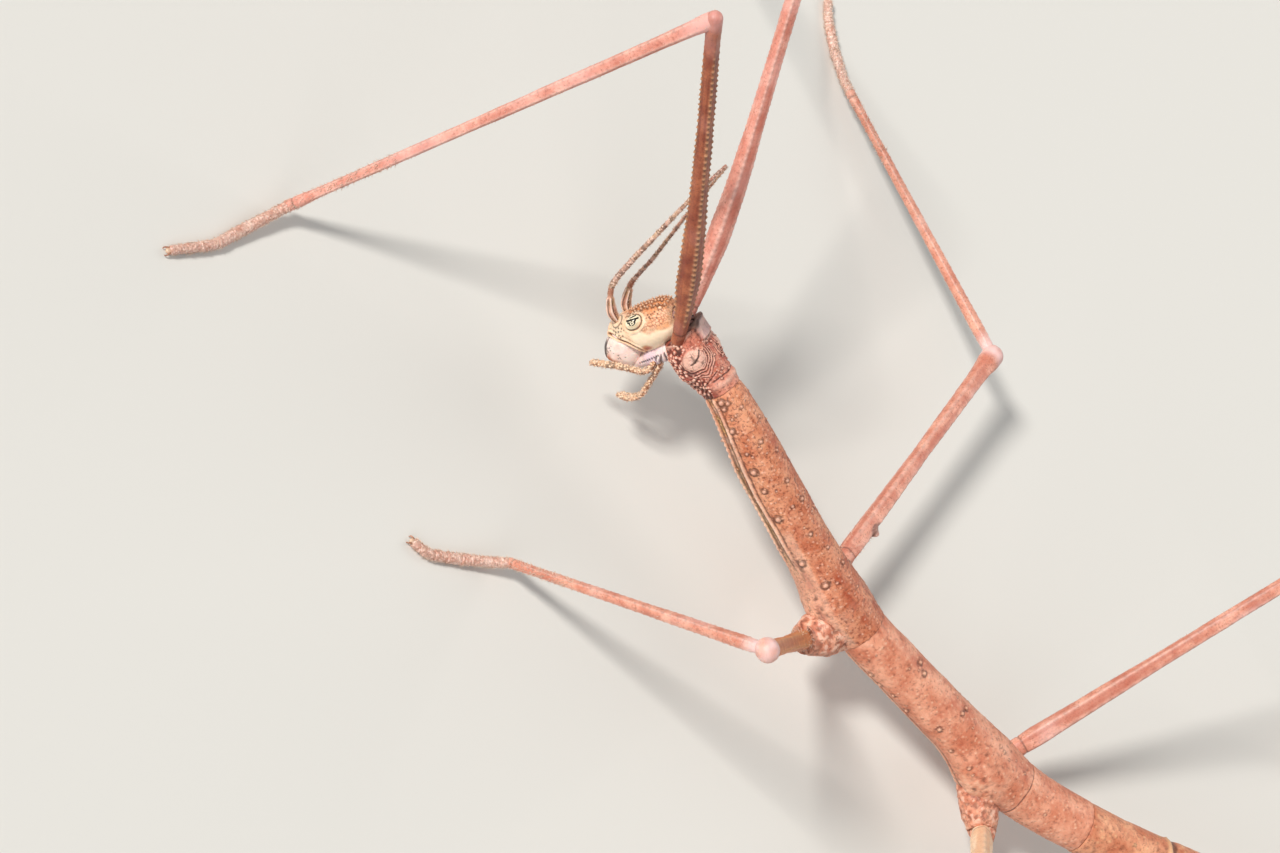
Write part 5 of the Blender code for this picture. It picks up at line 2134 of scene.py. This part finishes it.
@dataclass
class Leg:
    """One leg: coxa, keeled femur and tibia, and a jointed foot with claws."""

    pair: Pair
    side: Side
    trunk: Rail

    ANKLE_HEIGHT = 1.1
    ANKLE_HALF = 0.36
    GAP = 0.3
    # How far the foot's skin starts inside the ankle, mm.
    LEAD = 0.62
    # (angle, width) of each keel.
    KEELS = ((52, 13), (128, 13), (-48, 14), (-132, 14), (-90, 10))
    # (share of the foot, height of its middle, half width, half height).
    FOOT: Rows = (
        (0, 0.82, 0.34, 0.31), (0.1, 0.68, 0.34, 0.31), (0.38, 0.37, 0.34, 0.31), (0.42, 0.33, 0.36, 0.32),
        (0.58, 0.31, 0.34, 0.31), (0.72, 0.3, 0.32, 0.3), (0.88, 0.29, 0.3, 0.28), (0.97, 0.28, 0.29, 0.27),
        (1, 0.27, 0.26, 0.24),
    )
    JOINTS = ((0, 0.42), (0.42, 0.59), (0.59, 0.74), (0.74, 0.86), (0.86, 1))
    # (ahead, across, up) from the foot's tip along each claw.
    CLAW_HOOK = ((-0.25, 0.1, 0), (0.05, 0.17, 0.02), (0.22, 0.24, -0.04), (0.27, 0.21, -0.17))

    @property
    def sizes(self) -> LegSizes:
        """The sizes of this pair."""
        return SIZES[self.pair]

    @property
    def stance(self) -> Stance:
        """How this leg is held."""
        return STANCES[self.pair, self.side]

    @property
    def label(self) -> str:
        """The leg's words in the names of pieces."""
        return f"{self.pair.value}_{self.side.label}"

    @property
    def salt(self) -> int:
        """The first of this leg's own noise patterns."""
        return 200 + 40 * list(Pair).index(self.pair) + (20 if self.side is Side.LEFT else 0)

    def points(self) -> tuple[Vector, Vector, Vector]:
        """Works out where the leg's parts meet.

        Returns:
            The coxa's tip, the knee and the ankle.
        """
        distance, out, above = self.stance.tip
        hip = self.trunk.spot(distance, out * self.side.value, above)
        knee = hip + heading(self.stance.femur, self.stance.rise) * self.sizes.femur_length
        drop = math.degrees(math.asin((knee.z - self.ANKLE_HEIGHT) / self.sizes.tibia_length))
        return hip, knee, knee + heading(self.stance.tibia, -drop) * self.sizes.tibia_length

    def build(self, leg_hairs: Bristles, foot_hairs: Bristles, tile: int) -> None:
        """Builds the leg and dresses it.

        Args:
            leg_hairs: Takes the bristles of femur and tibia.
            foot_hairs: Takes the bristles of the foot.
            tile: The leg's number among six.
        """
        hip, knee, ankle = self.points()
        coxa, foot = self.coxa(hip + Vector(self.stance.bow)), self.foot(ankle)
        femur, tibia = self.femur(hip, knee), self.tibia(knee, ankle)
        thigh, shin = (tile * 2, 12), (tile * 2 + 1, 12)
        leg_hairs.sow(femur, 130, 0.11, 0.6, thigh, (-150, -30))
        if self.pair is Pair.MID:
            leg_hairs.sow(femur, 80, 0.2, 0.3, thigh, alongs=(0.3, 5))
        leg_hairs.sow(tibia, 260, 0.11, 0.9, shin, ALL_ROUND)
        leg_hairs.sow(tibia, 420, 0.19, 0.8, shin, ALL_ROUND, (tibia.along[-1] * 0.72, 99))
        for number, shell in enumerate(foot):
            foot_hairs.sow(shell, 420 if number == 0 else 120, 0.16, 0.9, (tile * 5 + number, 30), (-40, 220))
        finish = self.stance.finish
        for shell, skin, part in (
            (coxa, COLLAR if self.pair is Pair.FORE else ROOT, "coxa"), (femur, finish, "femur"),
            (tibia, SHINS.get(finish, finish), "tibia"),
        ):
            show(shell.object(skin), "leg_cuticle", f"{self.label}_{part}")
        show(joined(f"{self.label}_foot", foot, FOOT), "foot_cuticle", f"{self.label}_tarsus")
        show(joined(f"{self.label}_claws", self.claws(ankle), CLAW), "foot_cuticle")

    def coxa(self, hip: Vector) -> Shell:
        """The leg's root, a wrinkled lobe.

        Args:
            hip: The coxa's tip.

        Returns:
            The shell.
        """
        distance, out, above = self.sizes.root
        root = self.trunk.spot(distance, out * self.side.value, above)
        thigh = heading(self.stance.femur, self.stance.rise)
        tip = hip + thigh * (0.45 if self.pair is Pair.HIND else 0.1)
        rail = Rail.through(smooth_path([root, root.lerp(hip, 0.5), hip, tip], 14))
        half = self.sizes.coxa_half * self.stance.coxa_share
        shares = ((0, 1), (0.45, 1), (0.75, 0.84), (1, 0.58))
        taper = Profile(
            tuple((at * rail.length, half * share) for at, share in shares), 0.12 * rail.length, 0.95
        )
        dome = half * 0.35
        rings = capped(0.1, rail.length - dome * 0.4, 84, 0.75 * half, dome, 10)
        shell = Shell.wrap(f"{self.label}_coxa_lobe", rail, rings, 100, taper.girth)
        salt = self.salt
        shell.grain(0.16, 0.016, salt)
        fold = shell.soft(0.42, salt + 1, stretch=(1, 1, 0.7))
        shell.carve(
            0.045 * half * fold,
            dark=0.65 * step_up(np.abs(fold), 0.07, 0) * shell.soft(0.5, salt + 4, -0.4, 0.3),
            warm=0.5 * shell.soft(0.36, salt + 2, 0, 0.5),
        )
        if self.pair is Pair.FORE:
            grain = shell.granules(0.2, 0.075, 0.95, 1, salt + 3, 0.62)
            shell.carve(dark=0.8 * step_up(grain, 0.1, 0), pale=0.75 * step_up(grain, 0.4, 0.9))
        else:
            grain = shell.granules(0.2, 0.035, 0.5, 1, salt + 3)
            wrinkle = shell.soft(0.23, salt + 6)
            shell.carve(
                0.03 * wrinkle, dark=0.42 * step_up(wrinkle, -0.22, -0.45),
                pale=np.maximum(0.4 * grain, 0.6 * step_up(wrinkle, 0.18, 0.45)),
            )
        shell.weather(0.03, 0.5, 0.3)
        return shell

    def limb(self, name: str, rail: Rail, widths: Rows, front: float, rear: float) -> Shell:
        """A keeled limb before its beads and stains.

        Args:
            name: The piece's name.
            rail: Where it runs.
            widths: Its half width at shares of its length.
            front: Depth of its near dome.
            rear: Depth of its far dome.

        Returns:
            The shell.
        """
        length = rail.length
        profile = Profile(tuple((share * length, half) for share, half in widths), 0.03 * length)

        def girth(at: Array, turn: Array) -> Offsets:
            """A section that is hollowed between its keels.

            Args:
                at: Distances.
                turn: Angles.

            Returns:
                The offsets to the left and up.
            """
            body = window(at, 0.05 * length, 0.93 * length, 0.04 * length)
            keel = sum(hump(turn_from(turn, angle), 0, width) for angle, width in self.KEELS)
            size = profile.read(at)[0] * (1 - 0.13 * body * (1 - np.clip(keel, 0, 1)))
            return oval(turn, size, size * 0.92)

        rings = capped(0, length, self.sizes.rings, front, rear, 9)
        return Shell.wrap(f"{self.label}_{name}_skin", rail, rings, self.sizes.sides, girth)

    def femur(self, hip: Vector, knee: Vector) -> Shell:
        """The thigh: keels with beads or small teeth, and a pale rounded knee.

        Args:
            hip: The coxa's tip.
            knee: The knee's middle.

        Returns:
            The shell.
        """
        start = hip + (knee - hip).normalized() * 0.22
        bow, arch = Vector(self.stance.bow), Vector(self.stance.arch)
        rail = Rail.through([
            start.lerp(knee, share) + bow * max(0, 1 - share / 0.45) ** 2
            + arch * math.sin(math.pi * share**0.7)
            for share in np.linspace(0, 1, 40)
        ])
        sizes, salt = self.sizes, self.salt + 5
        shell = self.limb("femur", rail, sizes.femur, 0.2, sizes.knee_half)
        along, turn = shell.grid()
        share = along / rail.length
        shell.grain(0.15, 0.012, salt)
        # The trochanter is a short ring marked off by a crease.
        shell.groove(np.abs(along - 0.75), 0.06, 0.04, 0.35)
        reach = step_up(share, 0.04, 0.1) * step_up(share, 0.97, 0.8)
        strong = 1 if self.stance.finish is LIMB else 0.35
        for number, (angle, width) in enumerate(self.KEELS[:4]):
            wave = ripple(along, sizes.bead_gap, 4 * shell.soft(2.5, salt + number))
            bead = strong * step_up(wave, 0.35, 0.95) * shell.beside(angle, width * 0.75) * reach
            edge = shell.beside(angle, width * 0.9) * reach
            shell.carve(
                sizes.bead_height * bead, dark=0.55 * strong * edge * step_up(wave, 0.3, -0.6),
                pale=np.maximum(0.75 * bead, 0.28 * edge),
            )
        streaks = soft_noise(np.stack((along / 6, turn / 24, np.zeros_like(turn)), axis=-1), 1, salt + 8)
        knee_bloom = (0.72 + 0.28 * shell.soft(0.35, salt + 9)) * step_up(share, 0.955, 0.99)
        shell.carve(
            warm=np.maximum(0.6 * shell.rough(1.2, salt + 6, 0.05, 0.6), 0.55 * step_up(streaks, 0.1, 0.6)),
            olive=np.maximum(0.35 * shell.soft(2, salt + 7, 0.2, 0.8), knee_bloom),
        )
        if self.pair is Pair.MID and self.side is Side.RIGHT:
            shell.wart(3.4, 158, 0.26, 0.34, 0.4)
        shell.weather(0.02, 0.6, 0.4)
        return shell

    def tibia(self, knee: Vector, ankle: Vector) -> Shell:
        """The shin, which comes out of the knee and ends in a small collar.

        Args:
            knee: The knee's middle.
            ankle: The ankle's middle.

        Returns:
            The shell.
        """
        start = knee + (ankle - knee).normalized() * (self.sizes.knee_half * 0.35)
        rail = Rail.through([start.lerp(ankle, share) for share in np.linspace(0, 1, 30)])
        shell = self.limb("tibia", rail, self.sizes.tibia, 0.1, self.ANKLE_HALF * 0.9)
        along, salt = shell.grid()[0], self.salt + 12
        share = along / rail.length
        shell.grain(0.14, 0.01, salt)
        teeth = step_up(ripple(along, 0.55, 3 * shell.soft(1.7, salt + 1)), 0.5, 1)
        for angle, width in self.KEELS[:4]:
            edge = shell.beside(angle, width * 0.9) * window(share, 0.05, 0.93, 0.03)
            shell.carve(0.025 * edge * teeth, pale=0.25 * edge, dark=0.3 * edge * teeth)
        shell.carve(
            warm=0.55 * shell.rough(1.4, salt + 2, 0.05, 0.6),
            olive=np.maximum(0.45 * shell.soft(2.4, salt + 3, 0, 0.7), 0.9 * step_up(share, 0.09, 0.02)),
        )
        shell.groove(np.abs(along - rail.length * 0.985), 0.05, 0.04, 0.5)
        shell.weather(0.02, 0.6, 0.4)
        return shell

    def foot_path(self, ankle: Vector) -> Array:
        """The foot's middle line, which bends from its foot direction to its toe direction.

        Args:
            ankle: The ankle's middle.

        Returns:
            Points, mm.
        """
        stance, shares = self.stance, np.linspace(0, 1, 60)
        step = self.sizes.tarsus_length / (len(shares) - 1)
        table = np.array(self.FOOT)
        place = Vector((ankle.x, ankle.y, 0)) + heading(stance.foot, 0) * (self.ANKLE_HALF + self.GAP)
        points = []
        for share, height in zip(shares, np.interp(shares, table[:, 0], table[:, 1])):
            points.append((place.x, place.y, height))
            blend = float(np.interp(share, self.sizes.toe_bend, (0, 1)))
            place = place + heading(stance.foot + (stance.toes - stance.foot) * blend, 0) * step
        first = np.array(points[0]) - np.array(tuple(heading(stance.foot, -28))) * self.LEAD
        return np.vstack((first, points))

    def foot(self, ankle: Vector) -> list[Shell]:
        """The five joints of the foot, each a little wider at its far end.

        Args:
            ankle: The ankle's middle.

        Returns:
            The shells.
        """
        rail = Rail.through(self.foot_path(ankle))
        length = rail.length - self.LEAD
        profile = Profile(
            tuple((share * length + self.LEAD, *halves) for share, _, *halves in self.FOOT), 0.05
        )
        shells = []
        for number, (first, last) in enumerate(self.JOINTS):
            start = first * length + (0 if number == 0 else self.LEAD - 0.06)
            end = last * length + self.LEAD

            def girth(at: Array, turn: Array, start: float = start, end: float = end) -> Offsets:
                """A section that flares towards the joint's far end."""
                flare = 0.91 + 0.1 * np.clip((at - start) / (end - start), 0, 1) ** 2
                return oval(turn, *(half * flare for half in profile.read(at)))

            rings = capped(start + 0.1, end - 0.1, 84 if number == 0 else 36, 0.1, 0.12)
            shell = Shell.wrap(f"{self.label}_tarsomere_{number}", rail, rings, 32, girth)
            shell.grain(0.14, 0.012, self.salt + 16)
            grain = shell.granules(0.13, 0.016, 0.9, 1, self.salt + 18, 0.55)
            joint = 0.45 * step_up(shell.grid()[0], end - 0.08, end + 0.05)
            shell.carve(
                dark=np.maximum(joint, 0.22 * step_up(grain, 0.1, 0)), pale=0.6 * step_up(grain, 0.3, 0.9),
                warm=0.35 * shell.rough(0.6, self.salt + 17, 0, 0.6),
            )
            shell.above_floor()
            shells.append(shell)
        return shells

    def claws(self, ankle: Vector) -> list[Shell]:
        """The two curved claws and the pad between them.

        Args:
            ankle: The ankle's middle.

        Returns:
            The shells.
        """
        tip = Vector(self.foot_path(ankle)[-1])
        ahead = heading(self.stance.toes, 0)
        across = Vector((-ahead.y, ahead.x, 0))
        shells = []
        for number, side in enumerate(Side):
            rail = Rail.through(smooth_path([
                tip + ahead * far + across * (out * side.value) + Vector((0, 0, up))
                for far, out, up in self.CLAW_HOOK
            ], 20))
            taper = Profile(((0, 0.085), (0.5 * rail.length, 0.065), (rail.length, 0.03)))
            rings = capped(0, rail.length, 34, 0.04, 0.03)
            shells.append(Shell.wrap(f"{self.label}_claw_{number}", rail, rings, 18, taper.girth))
        rail = Rail.through([tip - ahead * 0.2, tip, tip + ahead * 0.2])
        pad = Profile(((0, 0.17, 0.1, 0.19),))
        shells.append(Shell.wrap(f"{self.label}_pad", rail, capped(0.15, 0.25, 4, 0.15, 0.17), 26, pad.girth))
        shells[-1].carve(pale=0.8)
        for shell in shells:
            shell.above_floor()
        return shells


# --- the studio ---


@dataclass
class Studio:
    """A pale floor, soft lights and the camera."""

    camera_place: Triple = (0.090662, 0.165135, 0.183352)
    camera_right: Triple = (-0.56855, -0.50987, 0.64558)
    camera_up: Triple = (0.78152, -0.57979, 0.23036)
    camera_back: Triple = (0.25684, 0.63551, 0.72812)
    lens: float = 117.7
    floor_radius: float = 6.0
    sky: tuple[float, float, float, float] = (0.86, 0.88, 0.9, 1)
    sky_strength: float = 0.33
    # (name, where it shines from, how wide it looks in degrees, strength, colour).
    lamps: tuple[tuple[str, Triple, float, float, Triple], ...] = (
        ("key", (0.33, 0.21, 0.3), 9.3, 3.08, (1, 0.97, 0.93)),
        ("fill", (-0.1, 0.4, 0.3), 43, 0.61, (0.93, 0.96, 1)),
        ("back", (-0.18, -0.35, 0.25), 36, 0.73, (1, 0.98, 0.95)),
    )

    def build(self) -> None:
        """Sets up the floor, the lamps, the sky and the camera."""
        self.add_floor()
        for name, source, width, strength, colour in self.lamps:
            data = bpy.data.lights.new(name, "SUN")
            data.angle, data.energy, data.color = math.radians(width), strength, colour
            add_object(name, data).rotation_euler = Vector(source).to_track_quat("Z", "Y").to_euler()
        world = bpy.data.worlds.new("studio_sky")
        world.use_nodes = True
        world.node_tree.nodes["Background"].inputs["Color"].default_value = self.sky
        world.node_tree.nodes["Background"].inputs["Strength"].default_value = self.sky_strength
        bpy.context.scene.world = world
        bpy.context.scene.view_settings.view_transform = "Standard"
        self.add_camera()

    def add_floor(self) -> None:
        """A wide pale disc of matt card, which shows soft shadows."""
        shape = bmesh.new()
        bmesh.ops.create_circle(shape, cap_ends=True, segments=96, radius=self.floor_radius)
        mesh = bpy.data.meshes.new("studio_floor")
        shape.to_mesh(mesh)
        shape.free()
        material = bpy.data.materials.new("pale_matt_card")
        material.use_nodes = True
        shader = material.node_tree.nodes["Principled BSDF"]
        shader.inputs["Base Color"].default_value = linear("DEDCD6")
        shader.inputs["Roughness"].default_value = 0.85
        mesh.materials.append(material)
        floor = add_object("studio_floor", mesh)

    def add_camera(self) -> None:
        """The camera, over the animal's left side and turned with it."""
        data = bpy.data.cameras.new("camera")
        data.lens, data.sensor_width = self.lens, 36
        data.clip_start, data.clip_end = 0.005, 50
        camera = add_object("camera", data)
        turn = Matrix((self.camera_right, self.camera_up, self.camera_back)).transposed()
        camera.matrix_world = Matrix.Translation(self.camera_place) @ turn.to_4x4()
        bpy.context.scene.camera = camera


def main() -> None:
    """Builds every sub-assembly in order."""
    logging.basicConfig(level=logging.INFO, format="%(name)s: %(message)s")
    Studio().build()
    line = TrunkLine()
    rail = line.rail()
    Thorax(line, line.swayed()).build()
    Abdomen(line, rail).build()
    Head(rail, line.start).build()
    leg_hairs = Bristles("leg_bristles", thickness=0.021, seed=61)
    foot_hairs = Bristles("foot_bristles", thickness=0.02, seed=67)
    for tile, (pair, side) in enumerate(STANCES):
        Leg(pair, side, rail).build(leg_hairs, foot_hairs, tile)
    show(leg_hairs.object(), "leg_cuticle")
    show(foot_hairs.object(), "foot_cuticle")


if __name__ == "__main__":
    main()
